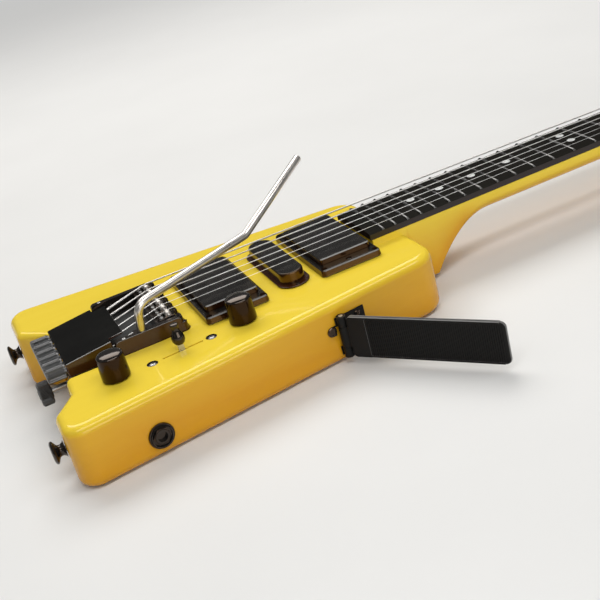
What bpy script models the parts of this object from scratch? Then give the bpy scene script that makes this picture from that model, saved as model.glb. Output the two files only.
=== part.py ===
"""Headless electric guitar, lying on its back.

Metres, +Z up.  The strings run along X: the scale ends at x = 0, over the saddles, and the
neck points to +X.  +Y is the side of the thick strings.  Z = 0 is the flat back of the body.
"""
import math

import bmesh
import bpy
from mathutils import Matrix, Vector

# Body, seen from above
BODY_DEPTH = 0.0435
BODY_TAIL = -0.0935
BODY_FRONT = 0.179
SIDE_AT_SCALE_END = 0.0945
SIDE_TAPER = 0.135
EDGE_ROUND = 0.0055
TAIL_CORNER = 0.013
FRONT_CORNER = 0.018
EAR_ROUND = 0.007
SEAM = 0.0282

# Notch between the two ears at the tail
NOTCH_FLOOR_TREBLE = -0.079
NOTCH_FLOOR_BASS = -0.0735
NOTCH_INNER_TREBLE = 0.057
NOTCH_INNER_BASS = 0.041
NOTCH_MOUTH_TREBLE = 0.0755
NOTCH_MOUTH_BASS = 0.061

# Clearances
SEAT = 0.0003
RUNNING = 0.0003
PICKUP_GAP = 0.0005
ROUT_GAP = 0.001

# Neck and fretboard
SCALE = 0.648
FRETS = 24
BOARD_RING_GAP = 0.0006
BOARD_HALF_AT_START = 0.0278
BOARD_HALF_AT_NUT = 0.021
BOARD_THICKNESS = 0.0055
NECK_RISE = 0.005
NECK_BACK = 0.012
HEEL_END = 0.198
HEEL_RUN = 0.052
HEEL_SIDE_DEPTH = 0.0338
FRET_HEIGHT = 0.0012
FRET_WIDTH = 0.0022
FRET_INSET = 0.0004
TRUSS_START = 0.2
TRUSS_HEAD_GAP = 0.008
TRUSS_RADIUS = 0.0029
TRUSS_CHANNEL_HALF = 0.0032

# Headpiece
HEADPIECE_LENGTH = 0.026
HEADPIECE_HALF = 0.0215
HEADPIECE_BELOW = 0.009
HEADPIECE_ABOVE = 0.0155

# Strings
STRINGS = 6
STRING_RADII = (0.00013, 0.00017, 0.00022, 0.00033, 0.00046, 0.00058)
BRIDGE_PITCH = 0.0106
TUNER_PITCH = 0.0105
NUT_PITCH = 0.00704
NUT_STRING_RISE = 0.013
BALL_RADIUS = 0.0018
BALL_LENGTH = 0.0032

# Pocket of the bridge
POCKET_SIDE_GAP = 0.0006
POCKET_FLOOR = 0.0075
POCKET_STEP = -0.006
POCKET_FRONT = 0.0108
LEDGE_DEPTH = 0.009

# Bridge frame, which rocks on two posts
PIVOT_X = 0.004
PIVOT_RISE = 0.0
POST_INSET = 0.0048
POST_BALL = 0.003
POST_NECK = 0.0018
POST_STUD = 0.002
POST_FLANGE = 0.004
POST_LENGTH = 0.011
FRAME_TAIL = -0.040
FRAME_FRONT = 0.0085
FRAME_RISE = 0.0107
FRAME_BOTTOM = -0.003
FRAME_FLOOR = 0.002
RAIL_WIDTH = 0.0042
BED_TAIL = -0.009
BED_FRONT = 0.005
BED_RISE = 0.0085

# Saddles
SADDLE_WIDTH = 0.0094
SADDLE_SIDE_GAP = 0.0022
SADDLE_TAIL = -0.007
SADDLE_FRONT = 0.0042
SADDLE_HEIGHT = 0.0021
ROLLER_RADIUS = 0.0022
ROLLER_LENGTH = 0.007

# Tuner block and its cover
BLOCK_TAIL = -0.073
BLOCK_FRONT = -0.012
BLOCK_SIDE_GAP = 0.00145
BLOCK_FLOOR = 0.0027
TAIL_WALL = 0.004
TAIL_WALL_RISE = 0.0042
TONGUE_HALF = 0.013
TONGUE_DEPTH = 0.0285
COVER_TAIL = -0.0734
COVER_STEP = -0.0412
COVER_LIP = -0.0315
COVER_LIP_HALF = 0.0255
COVER_TAIL_RISE = 0.0067
COVER_SLOPE = 0.1074
COVER_WALL = 0.0011
COVER_ROOF = 0.0015

# Tuners
TUNER_RISE = 0.001
TUNER_TAIL = -0.0875
TUNER_HEAD = -0.0735
TUNER_RADIUS = 0.0049
ROD_RADIUS = 0.0015
ROD_END = -0.0605
JAW_TAIL = -0.067
JAW_FRONT = -0.053
JAW_HALF = 0.0033
JAW_RISE = 0.0046
JAW_POCKET_TAIL = -0.0595
JAW_POCKET_FRONT = -0.0544
JAW_SLOT_HALF = 0.0009

# Balance spring under the tuner block
SPRING_DROP = 0.0215
SPRING_KNOB_TAIL = -0.094
SPRING_KNOB_HEAD = -0.0875
SPRING_KNOB_RADIUS = 0.0085
SPRING_ROD_RADIUS = 0.0025
SPRING_ROD_END = -0.0600
SPRING_RADIUS = 0.005
SPRING_WIRE = 0.0007
SPRING_TURNS = 10
SPRING_TAIL = -0.056
SPRING_HEAD = -0.0155
HOOK_DEPTH = 0.002
ANCHOR_PLATE = 0.002
ANCHOR_HALF = 0.011
ANCHOR_HEIGHT = 0.016
ANCHOR_BOSS = 0.0045
ANCHOR_BOSS_RADIUS = 0.004

# Tremolo arm
ARM_RADIUS = 0.003
ARM_X = -0.0205
ARM_INSET = 0.0036
ARM_BOSS_HALF = 0.0055
ARM_BOSS_WIDTH = 0.0036
ARM_FOOT = 0.0015
ARM_BEND = 0.009
ARM_FIRST_BEND = (-0.0186, -0.0377, 0.030)
ARM_SECOND_BEND = (0.0737, 0.0055, 0.030)
ARM_TIP = (0.135, 0.0342, 0.0595)

# Pickups
RING_LENGTH = 0.0455
RING_WIDTH = 0.090
RING_RISE = 0.005
RING_CORNER = 0.003
BRIDGE_RING_X = 0.0425
NECK_RING_X = 0.1275
HUMBUCKER_LENGTH = 0.0381
HUMBUCKER_WIDTH = 0.06985
HUMBUCKER_CORNER = 0.002
HUMBUCKER_RISE = 0.0105
HUMBUCKER_DROP = 0.016
MIDDLE_X = 0.0882
MIDDLE_LENGTH = 0.018
MIDDLE_WIDTH = 0.073
MIDDLE_RISE = 0.0095
MIDDLE_DROP = 0.014
FLANGE_LENGTH = 0.0231
FLANGE_WIDTH = 0.082
FLANGE_THICKNESS = 0.0011
ROUT_DEPTH = 0.0175

# Control cavity, open to the back
CAVITY_TAIL = -0.066
CAVITY_FRONT = 0.058
POT_SIDE_GAP = 0.0035
CAVITY_WALL = 0.011
CAVITY_ROOF = 0.005
CAVITY_CORNER = 0.006
COVER_LEDGE = 0.004
COVER_PLATE = 0.002

# Volume and tone controls
VOLUME_PLACE = (-0.0485, -0.0625)
TONE_X = 0.041
TONE_GAP = 0.002
KNOB_BASE_RADIUS = 0.009
KNOB_TOP_RADIUS = 0.0083
KNOB_HEIGHT = 0.018
KNOB_LIFT = 0.0006
KNOB_DOME = 0.0022
POT_RADIUS = 0.0085
POT_DEPTH = 0.009
BUSH_RADIUS = 0.0045
BUSH_RISE = 0.0022
SHAFT_RADIUS = 0.003
SHAFT_RISE = 0.0137
SHAFT_DROP = 0.011

# Pickup selector
SELECTOR_PLACE = (-0.0042, -0.06165)
SELECTOR_TURN = math.radians(4.5)
SELECTOR_SLOT = 0.0285
SELECTOR_SLOT_SHIFT = 0.0006
SELECTOR_SLOT_HALF = 0.0010
SELECTOR_PIVOT_DROP = 0.024
SWITCH_LENGTH = 0.048
SWITCH_HALF = 0.006
SWITCH_PLATE = 0.0015
SWITCH_CHEEK = 0.0015
SWITCH_CHEEK_LENGTH = 0.034
LEVER_WIDTH = 0.004
LEVER_HALF = 0.0006
LEVER_PIN = 0.0015
TIP_RADIUS = 0.0045
TIP_LOW = 0.005
TIP_HIGH = 0.0195
TIP_HOLE = 0.009

# Output jack
JACK_X = -0.0388
JACK_HEIGHT = 0.0145
JACK_BORE = 0.0034
JACK_THREAD = 0.0047
JACK_BODY = 0.0078
JACK_BODY_LENGTH = 0.018
JACK_RING = 0.0086
JACK_RING_THICKNESS = 0.0025
JACK_END_WALL = 0.0015

# Strap buttons
BUTTON_Y = 0.080
BUTTON_HEIGHT = 0.0215
BUTTON_RADIUS = 0.0075
BUTTON_NECK = 0.0036
BUTTON_LENGTH = 0.009
BUTTON_SCREW = 0.0017
BUTTON_SCREW_LENGTH = 0.018

# Leg rest
LEG_X = 0.0955
LEG_STANDOFF = 0.0035
LEG_TURN = math.radians(-51.4)
LEG_LENGTH = 0.1113
LEG_LOW = 0.0047
LEG_HIGH = 0.0344
LEG_HALF = 0.00175
LEG_CORNER = 0.003
KNUCKLE_RADIUS = 0.0032
KNUCKLE_LOW = 0.0122
KNUCKLE_HIGH = 0.0268
HINGE_PIN = 0.0015
LEAF_THICKNESS = 0.001
LEAF_TAIL = -0.0036
LEAF_HEAD = 0.019
LEAF_INSET = 0.0012
BOSS_TAIL = -0.0071
BOSS_HEIGHT = 0.0245
BOSS_RADIUS = 0.0034

# What follows from the sizes above
TOP = BODY_DEPTH
TRUSS_END = SCALE - TRUSS_HEAD_GAP
FRETBOARD_START = NECK_RING_X + RING_LENGTH / 2 + BOARD_RING_GAP
NECK_TOP = TOP + NECK_RISE
BOARD_LOW = NECK_TOP + SEAT
BOARD_TOP = BOARD_LOW + BOARD_THICKNESS
PIVOT_Z = TOP + PIVOT_RISE
BLOCK_HALF = (STRINGS - 1) / 2 * TUNER_PITCH + JAW_HALF + BLOCK_SIDE_GAP
SADDLES_HALF = (STRINGS - 1) / 2 * BRIDGE_PITCH + SADDLE_WIDTH / 2
FRAME_HALF = SADDLES_HALF + SADDLE_SIDE_GAP + RAIL_WIDTH
POCKET_HALF = FRAME_HALF + POCKET_SIDE_GAP
POST_HALF_SPAN = FRAME_HALF - POST_INSET
ARM_Y = -(FRAME_HALF - ARM_INSET)
TONE_Y = -(RING_WIDTH / 2 + KNOB_BASE_RADIUS + TONE_GAP)
TONE_PLACE = (TONE_X, TONE_Y)
CAVITY_INNER = -TONE_Y - POT_RADIUS - POT_SIDE_GAP
BED_TOP = TOP + BED_RISE
SADDLE_LOW = BED_TOP + SEAT
ROLLER_Z = SADDLE_LOW + SADDLE_HEIGHT + 0.25 * ROLLER_RADIUS
SPRING_Z = TOP - SPRING_DROP
FRAME_UNDER = TOP + FRAME_BOTTOM
BLOCK_TOP = FRAME_UNDER - SEAT
TUNER_Z = TOP + TUNER_RISE
JAW_LOW = BLOCK_TOP + RUNNING
BEYOND = 0.01
PAINT_YELLOW = ("yellow_paint", (0.95, 0.56, 0.02), 0.15, 0.0)
BLACK_METAL = ("black_metal", (0.02, 0.02, 0.022), 0.45, 0.6)
BLACK_PLASTIC = ("black_plastic", (0.015, 0.015, 0.016), 0.35, 0.0)
SATIN_PLASTIC = ("satin_plastic", (0.03, 0.03, 0.032), 0.6, 0.0)
CHROME = ("chrome", (0.75, 0.74, 0.72), 0.12, 1.0)
STEEL = ("steel", (0.55, 0.55, 0.56), 0.3, 1.0)
STRING_STEEL = ("string_steel", (0.7, 0.7, 0.7), 0.3, 1.0)
EBONY = ("dark_wood", (0.035, 0.028, 0.026), 0.5, 0.0)


# Start from an empty scene
for old in list(bpy.data.objects):
    bpy.data.objects.remove(old, do_unlink=True)
PARTS = bpy.data.collections.new("headless_electric_guitar")
GUIDES = bpy.data.collections.new("cutters_and_guides")
for group in (PARTS, GUIDES):
    bpy.context.scene.collection.children.link(group)


# Materials

def material(look):
    name, colour, roughness, metallic = look
    if name in bpy.data.materials:
        return bpy.data.materials[name]
    made = bpy.data.materials.new(name)
    made.use_nodes = True
    shader = made.node_tree.nodes["Principled BSDF"]
    shader.inputs["Base Color"].default_value = (*colour, 1.0)
    shader.inputs["Roughness"].default_value = roughness
    shader.inputs["Metallic"].default_value = metallic
    made.diffuse_color = (*colour, 1.0)
    return made


# Building blocks

def settle(name, mesh, look, location=(0, 0, 0), rotation=None):
    """Link a mesh as a part, or as a hidden cutter when it has no look."""
    piece = bpy.data.objects.new(name, mesh)
    piece.location = location
    if rotation is not None:
        piece.rotation_euler = rotation.to_euler()
    if look is None:
        piece.hide_render = True
        piece.display_type = "WIRE"
        GUIDES.objects.link(piece)
    else:
        mesh.materials.clear()
        mesh.materials.append(material(look))
        PARTS.objects.link(piece)
    return piece


def mesh_from(name, build):
    bm = bmesh.new()
    build(bm)
    mesh = bpy.data.meshes.new(name)
    bm.to_mesh(mesh)
    bm.free()
    return mesh


def smooth(mesh, angle=math.radians(40)):
    mesh.shade_smooth()
    mesh.set_sharp_from_angle(angle=angle)


def box(name, low, high, look=None):
    low = Vector(low)
    high = Vector(high)
    size = high - low

    def build(bm):
        bmesh.ops.create_cube(bm, size=1.0, matrix=Matrix.Diagonal((*size, 1.0)))

    return settle(name, mesh_from(name, build), look, (low + high) / 2)


def cylinder(name, start, end, radius, look=None, sides=24):
    start = Vector(start)
    end = Vector(end)
    span = end - start

    def build(bm):
        lift = Matrix.Translation((0, 0, span.length / 2))
        bmesh.ops.create_cone(bm, cap_ends=True, segments=sides, radius1=radius, radius2=radius,
                              depth=span.length, matrix=lift)

    mesh = mesh_from(name, build)
    smooth(mesh)
    return settle(name, mesh, look, start, span.to_track_quat("Z", "Y"))


def ball(name, centre, radius, look=None):
    def build(bm):
        bmesh.ops.create_uvsphere(bm, u_segments=16, v_segments=8, radius=radius)

    return settle(name, mesh_from(name, build), look, centre)


def turned(name, profile, base, direction, look, sides=24):
    """Spin a profile of (radius, height) points, from the far end down to the base."""
    mesh = bpy.data.meshes.new(name)
    points = [(radius, 0, height) for radius, height in profile]
    edges = [(i, i + 1) for i in range(len(points) - 1)]
    mesh.from_pydata(points, edges, [])
    piece = settle(name, mesh, look, base, Vector(direction).to_track_quat("Z", "Y"))
    spin = piece.modifiers.new("spin", "SCREW")
    spin.steps = sides
    spin.render_steps = sides
    spin.use_merge_vertices = True
    spin.merge_threshold = 0.00001
    spin.use_smooth_shade = True
    return piece


def evaluated_mesh(source):
    bpy.context.view_layer.update()
    view = source.evaluated_get(bpy.context.evaluated_depsgraph_get())
    return bpy.data.meshes.new_from_object(view)


def weld(mesh, distance=0.000001, flat=False):
    bm = bmesh.new()
    bm.from_mesh(mesh)
    bmesh.ops.remove_doubles(bm, verts=bm.verts, dist=distance)
    if flat:
        bmesh.ops.dissolve_limit(bm, angle_limit=math.radians(0.5), verts=bm.verts, edges=bm.edges)
    bm.to_mesh(mesh)
    bm.free()


def mesh_of_curve(name, curve, look, location, rotation):
    """Turn a curve into a closed mesh object at the same place."""
    drawn = bpy.data.objects.new("drawn", curve)
    drawn.location = location
    if rotation is not None:
        drawn.rotation_euler = rotation.to_euler()
    GUIDES.objects.link(drawn)
    mesh = evaluated_mesh(drawn)
    weld(mesh, flat=curve.dimensions == "2D")
    piece = settle(name, mesh, look)
    piece.matrix_world = drawn.matrix_world.copy()
    bpy.data.objects.remove(drawn, do_unlink=True)
    bpy.data.curves.remove(curve)
    mesh.name = name
    return piece


def spline_of(curve, points, radii=None):
    spline = curve.splines.new("POLY")
    spline.points.add(len(points) - 1)
    for number, point in enumerate(points):
        spline.points[number].co = (*point, 1.0)
        if radii is not None:
            spline.points[number].radius = radii[number]
    return spline


def slab(name, outline, low, high, look=None, upright=False):
    """A flat outline with a thickness, along Z, or along Y when it stands upright."""
    curve = bpy.data.curves.new(name, "CURVE")
    curve.dimensions = "2D"
    curve.fill_mode = "BOTH"
    curve.extrude = (high - low) / 2
    spline = spline_of(curve, [(x, y, 0.0) for x, y in outline])
    spline.use_cyclic_u = True
    middle = (low + high) / 2
    if upright:
        stand = Matrix.Rotation(math.radians(90), 3, "X")
        return mesh_of_curve(name, curve, look, (0, middle, 0), stand)
    return mesh_of_curve(name, curve, look, (0, 0, middle), None)


def tube(name, points, radius, look, radii=None, resolution=2):
    curve = bpy.data.curves.new(name, "CURVE")
    curve.dimensions = "3D"
    curve.bevel_depth = radius
    curve.bevel_resolution = resolution
    curve.use_fill_caps = True
    spline_of(curve, points, radii)
    piece = mesh_of_curve(name, curve, look, (0, 0, 0), None)
    smooth(piece.data)
    return piece


def boolean(piece, others, operation):
    for other in others:
        step = piece.modifiers.new(operation.lower(), "BOOLEAN")
        step.operation = operation
        step.solver = "EXACT"
        step.object = other


def cut(piece, *cutters):
    boolean(piece, cutters, "DIFFERENCE")


def fuse(piece, *guides):
    boolean(piece, guides, "UNION")


def soften(piece, width, segments=2):
    """Round the sharp edges of a piece."""
    edge = piece.modifiers.new("edge", "BEVEL")
    edge.width = width
    edge.segments = segments
    edge.limit_method = "ANGLE"
    edge.angle_limit = math.radians(50)


def axis_empty(name, place, turn=0.0):
    pivot = bpy.data.objects.new(name, None)
    pivot.location = place
    pivot.rotation_euler.z = turn
    PARTS.objects.link(pivot)
    bpy.context.view_layer.update()
    return pivot


def carry(pivot, *pieces):
    """Parent pieces to a pivot and leave them where they are."""
    bpy.context.view_layer.update()
    for piece in pieces:
        piece.parent = pivot
        piece.matrix_parent_inverse = pivot.matrix_world.inverted()


def mount_on(pivot, *pieces):
    """Parent pieces whose places are given in the pivot's own frame."""
    for piece in pieces:
        piece.parent = pivot


def round_corners(corners, segments=5):
    """Replace each (x, y, radius) corner of an outline by an arc."""
    outline = []
    for number, (x, y, radius) in enumerate(corners):
        here = Vector((x, y))
        back = (Vector(corners[number - 1][:2]) - here).normalized()
        ahead = (Vector(corners[(number + 1) % len(corners)][:2]) - here).normalized()
        if radius == 0:
            outline.append((x, y))
            continue
        half = back.angle(ahead) / 2
        centre = here + (back + ahead).normalized() * radius / math.sin(half)
        first = here + back * radius / math.tan(half) - centre
        last = here + ahead * radius / math.tan(half) - centre
        sweep = first.angle_signed(last)
        for step in range(segments + 1):
            turn = Matrix.Rotation(-sweep * step / segments, 2)
            point = centre + turn @ first
            outline.append((point.x, point.y))
    return outline


def rectangle(x, y, length, width, corner, segments=4):
    across = length / 2
    along = width / 2
    corners = [(x - across, y - along, corner), (x + across, y - along, corner),
               (x + across, y + along, corner), (x - across, y + along, corner)]
    return round_corners(corners, segments)


def side_at(x):
    """Distance from the middle of the body to its long sides."""
    return SIDE_AT_SCALE_END - SIDE_TAPER * x


def string_offset(number):
    """Place of a string across the neck, in string spacings from the middle."""
    return number - (STRINGS - 1) / 2


def board_half_at(x):
    share = (x - FRETBOARD_START) / (SCALE - FRETBOARD_START)
    return BOARD_HALF_AT_START + share * (BOARD_HALF_AT_NUT - BOARD_HALF_AT_START)


# Body: one blank, sawn into a core and two wings

def body_blank():
    corners = [(BODY_TAIL, -side_at(BODY_TAIL), TAIL_CORNER),
               (BODY_FRONT, -side_at(BODY_FRONT), FRONT_CORNER),
               (BODY_FRONT, side_at(BODY_FRONT), FRONT_CORNER),
               (BODY_TAIL, side_at(BODY_TAIL), TAIL_CORNER),
               (BODY_TAIL, NOTCH_MOUTH_BASS, EAR_ROUND),
               (NOTCH_FLOOR_BASS, NOTCH_INNER_BASS, 0),
               (NOTCH_FLOOR_TREBLE, -NOTCH_INNER_TREBLE, 0),
               (BODY_TAIL, -NOTCH_MOUTH_TREBLE, EAR_ROUND)]
    blank = slab("body_blank", round_corners(corners, 6), 0.0, TOP)
    bm = bmesh.new()
    bm.from_mesh(blank.data)
    weights = bm.edges.layers.float.new("bevel_weight_edge")
    for edge in bm.edges:
        ends = [vert.co.z for vert in edge.verts]
        if abs(ends[0] - ends[1]) < 0.5 * BODY_DEPTH:
            edge[weights] = 1.0
    bm.to_mesh(blank.data)
    bm.free()
    rim = blank.modifiers.new("rim", "BEVEL")
    rim.width = EDGE_ROUND
    rim.segments = 3
    rim.limit_method = "WEIGHT"
    rim.use_clamp_overlap = False
    mesh = evaluated_mesh(blank)
    place = blank.location.copy()
    bpy.data.objects.remove(blank, do_unlink=True)
    return mesh, place


def keep_between(piece, low_y, high_y):
    reach = 2 * SCALE
    saw = box(piece.name + "_keep", (-reach, low_y, -reach), (reach, high_y, reach))
    boolean(piece, [saw], "INTERSECT")


def neck_section(x):
    """Ring of points round the neck at x, flat on top and round behind."""
    run = min(max((x - HEEL_END) / HEEL_RUN, 0.0), 1.0)
    left = 1.0 - run
    half = board_half_at(x) - SEAT
    heel_low = SEAT
    back = TOP - NECK_BACK - (TOP - NECK_BACK - heel_low) * left ** 2.4
    side = TOP - HEEL_SIDE_DEPTH * left ** 2.1
    power = 2.0 / (2.0 + 2.0 * left ** 2)
    ring = [(half, NECK_TOP)]
    steps = 12
    for step in range(steps + 1):
        angle = math.pi * step / steps
        across = math.copysign(abs(math.cos(angle)) ** power, math.cos(angle))
        ring.append((half * across, side - (side - back) * math.sin(angle) ** power))
    ring.append((-half, NECK_TOP))
    return [Vector((x, y, z)) for y, z in ring]


def neck_loft():
    start = FRETBOARD_START
    places = [start, BODY_FRONT, HEEL_END]
    places += [HEEL_END + HEEL_RUN * (step / 12) ** 1.3 for step in range(1, 13)]
    places += [0.4, 0.52, SCALE]

    def build(bm):
        rings = [[bm.verts.new(point) for point in neck_section(x)] for x in places]
        count = len(rings[0])
        for near, far in zip(rings, rings[1:]):
            for i in range(count):
                j = (i + 1) % count
                bm.faces.new((near[i], near[j], far[j], far[i]))
        bm.faces.new(rings[0][::-1])
        bm.faces.new(rings[-1])
        bmesh.ops.recalc_face_normals(bm, faces=bm.faces)

    return settle("neck_blank", mesh_from("neck_blank", build), None)


def body_cutters():
    """Cutters that the core and both wings share."""
    pocket = box("pocket_cut", (BODY_TAIL - BEYOND, -POCKET_HALF, POCKET_FLOOR),
                 (POCKET_STEP, POCKET_HALF, TOP + BEYOND))
    ledge = box("ledge_cut", (POCKET_STEP - BEYOND, -POCKET_HALF, TOP - LEDGE_DEPTH),
                (POCKET_FRONT, POCKET_HALF, TOP + BEYOND))
    cutters = [pocket, ledge]
    for name, x in (("bridge", BRIDGE_RING_X), ("neck", NECK_RING_X)):
        outline = rectangle(x, 0.0, HUMBUCKER_LENGTH + 2 * ROUT_GAP,
                            HUMBUCKER_WIDTH + 2 * ROUT_GAP, HUMBUCKER_CORNER)
        cutters.append(slab(name + "_rout_cut", outline, TOP - ROUT_DEPTH, TOP + BEYOND))
    outline = rectangle(MIDDLE_X, 0.0, MIDDLE_LENGTH + 2 * ROUT_GAP,
                        MIDDLE_WIDTH + 2 * ROUT_GAP, MIDDLE_LENGTH / 2, 6)
    cutters.append(slab("middle_rout_cut", outline, TOP - ROUT_DEPTH, TOP + BEYOND))
    return cutters


def post_holes():
    holes = []
    for side in (-1, 1):
        y = side * POST_HALF_SPAN
        low = TOP - LEDGE_DEPTH - POST_LENGTH - SEAT
        holes.append(cylinder("post_hole_cut", (PIVOT_X, y, low), (PIVOT_X, y, TOP),
                              POST_STUD + SEAT, sides=16))
    return holes


def build_body():
    mesh, place = body_blank()
    shared = body_cutters()
    holes = post_holes()
    neck = neck_loft()
    channel = box("truss_cut", (TRUSS_START, -TRUSS_CHANNEL_HALF, NECK_TOP - 2 * TRUSS_RADIUS
                                - 2 * SEAT - NECK_RISE),
                  (TRUSS_END, TRUSS_CHANNEL_HALF, NECK_TOP + BEYOND))

    core = settle("neck_through_core", mesh.copy(), PAINT_YELLOW, place)
    keep_between(core, -SEAM, SEAM)
    fuse(core, neck)
    bass = settle("body_wing_bass", mesh.copy(), PAINT_YELLOW, place)
    keep_between(bass, SEAM + SEAT, 2 * SCALE)
    treble = settle("body_wing_treble", mesh.copy(), PAINT_YELLOW, place)
    keep_between(treble, -2 * SCALE, -SEAM - SEAT)
    for piece in (core, bass, treble):
        cut(piece, *shared)
    cut(core, channel)
    cut(treble, holes[0])
    cut(bass, holes[1])
    return core, bass, treble


def build_truss_rod():
    middle = NECK_TOP - NECK_RISE - TRUSS_RADIUS
    end_gap = RUNNING
    return cylinder("truss_rod", (TRUSS_START + end_gap, 0, middle), (TRUSS_END - end_gap, 0, middle),
                    TRUSS_RADIUS, STEEL, 12)


def build_fretboard():
    outline = [(FRETBOARD_START, -BOARD_HALF_AT_START), (SCALE, -BOARD_HALF_AT_NUT),
               (SCALE, BOARD_HALF_AT_NUT), (FRETBOARD_START, BOARD_HALF_AT_START)]
    board = slab("fretboard", outline, BOARD_LOW, BOARD_TOP, EBONY)

    def build(bm):
        for fret in range(1, FRETS + 1):
            x = SCALE * 2 ** (-fret / 12)
            half = board_half_at(x) - FRET_INSET
            height = FRET_HEIGHT + BOARD_THICKNESS / 4
            middle = BOARD_TOP + FRET_HEIGHT - height / 2
            spot = Matrix.Translation((x, 0, middle))
            size = Matrix.Diagonal((FRET_WIDTH, 2 * half, height, 1.0))
            bmesh.ops.create_cube(bm, size=1.0, matrix=spot @ size)

    fuse(board, settle("fret_bars", mesh_from("fret_bars", build), None))
    return board


# Strings and what holds their far ends

def saddle_string_z(number):
    return ROLLER_Z + ROLLER_RADIUS + SEAT + STRING_RADII[number]


def string_path(number):
    """Centre line of a string: ball, saddle, nut, ball, with the place of each bend."""
    offset = string_offset(number)
    tail_y = offset * TUNER_PITCH
    saddle_y = offset * BRIDGE_PITCH
    nut_y = offset * NUT_PITCH
    ball_x = (JAW_POCKET_TAIL + JAW_POCKET_FRONT) / 2
    ball_z = TUNER_Z - BALL_RADIUS / 3
    top = saddle_string_z(number)
    nut_z = TOP + NUT_STRING_RISE
    tail = Vector((ball_x, tail_y, ball_z))
    saddle = Vector((0.0, saddle_y, top))
    nut = Vector((SCALE, nut_y, nut_z))
    head = Vector((SCALE + HEADPIECE_LENGTH * 0.75, nut_y, nut_z))
    return tail, saddle, nut, head


def build_strings():
    strings = []
    for number in range(STRINGS):
        tail, saddle, nut, head = string_path(number)
        thin = STRING_RADII[number]
        thick = BALL_RADIUS / thin
        half_ball = Vector((BALL_LENGTH / 2, 0, 0))
        step = Vector((SEAT / 2, 0, 0))
        points = [tail - half_ball, tail + half_ball, tail + half_ball + step, saddle, nut,
                  head - half_ball - step, head - half_ball, head + half_ball]
        radii = [thick, thick, 1.0, 1.0, 1.0, 1.0, thick, thick]
        strings.append(tube("string_%d" % (number + 1), points, thin, STRING_STEEL, radii, 1))
    return strings


def build_headpiece():
    start = SCALE + SEAT
    end = SCALE + HEADPIECE_LENGTH
    head = box("headpiece", (start, -HEADPIECE_HALF, TOP - HEADPIECE_BELOW),
               (end, HEADPIECE_HALF, TOP + HEADPIECE_ABOVE), BLACK_METAL)
    soften(head, 0.0012, 2)
    for number in range(STRINGS):
        nut, far = string_path(number)[2:]
        thin = STRING_RADII[number]
        slot = box("string_slot_cut", (start - BEYOND, nut.y - thin - SEAT, nut.z - thin - SEAT),
                   (far.x, nut.y + thin + SEAT, nut.z + BEYOND))
        half_ball = BALL_LENGTH / 2 + SEAT
        reach = BALL_RADIUS + SEAT
        well = box("ball_well_cut", (far.x - half_ball, nut.y - reach, nut.z - reach),
                   (far.x + half_ball, nut.y + reach, nut.z + BEYOND))
        cut(head, slot, well)
    return head


# Bridge

def build_posts():
    posts = []
    ledge = TOP - LEDGE_DEPTH
    for side, name in ((-1, "treble"), (1, "bass")):
        profile = []
        neck_angle = math.asin(POST_NECK / POST_BALL)
        steps = 8
        for step in range(steps + 1):
            angle = (math.pi - neck_angle) * step / steps
            profile.append((POST_BALL * math.sin(angle), POST_BALL * math.cos(angle)))
        flange = ledge - PIVOT_Z
        profile += [(POST_NECK, flange + 0.4 * POST_FLANGE), (POST_FLANGE, flange + 0.3 * POST_FLANGE),
                    (POST_FLANGE, flange + SEAT), (POST_STUD, flange + SEAT),
                    (POST_STUD, flange - POST_LENGTH), (0, flange - POST_LENGTH)]
        place = (PIVOT_X, side * POST_HALF_SPAN, PIVOT_Z)
        posts.append(turned("pivot_post_" + name, profile, place, (0, 0, 1), STEEL, 16))
    return posts


def build_frame():
    frame = box("bridge_frame", (FRAME_TAIL, -FRAME_HALF, FRAME_UNDER),
                (FRAME_FRONT, FRAME_HALF, TOP + FRAME_RISE), BLACK_METAL)
    inner = FRAME_HALF - RAIL_WIDTH
    high = TOP + FRAME_RISE + BEYOND
    floor = FRAME_UNDER + FRAME_FLOOR
    boss = ARM_X + ARM_BOSS_HALF
    channel = box("frame_channel_cut", (FRAME_TAIL - BEYOND, -inner + ARM_BOSS_WIDTH, floor),
                  (BED_TAIL, inner, high))
    tail_gap = box("frame_tail_cut", (FRAME_TAIL - BEYOND, -inner, floor),
                   (ARM_X - ARM_BOSS_HALF, 0, high))
    front_gap = box("frame_front_cut", (boss, -inner, floor), (BED_TAIL, 0, high))
    bed = box("saddle_bed_cut", (BED_TAIL - SEAT, -inner, BED_TOP), (BED_FRONT, inner, high))
    arm_bore = cylinder("arm_bore_cut", (ARM_X, ARM_Y, TOP + ARM_FOOT - RUNNING), (ARM_X, ARM_Y, high),
                        ARM_RADIUS + RUNNING)
    cut(frame, channel, tail_gap, front_gap, bed, arm_bore)
    for side in (-1, 1):
        y = side * POST_HALF_SPAN
        socket = ball("socket_cut", (PIVOT_X, y, PIVOT_Z), POST_BALL + RUNNING)
        mouth = cylinder("mouth_cut", (PIVOT_X, y, FRAME_UNDER - BEYOND), (PIVOT_X, y, PIVOT_Z),
                         POST_BALL - RUNNING / 2, sides=16)
        cut(frame, socket, mouth)
    return frame


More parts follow.
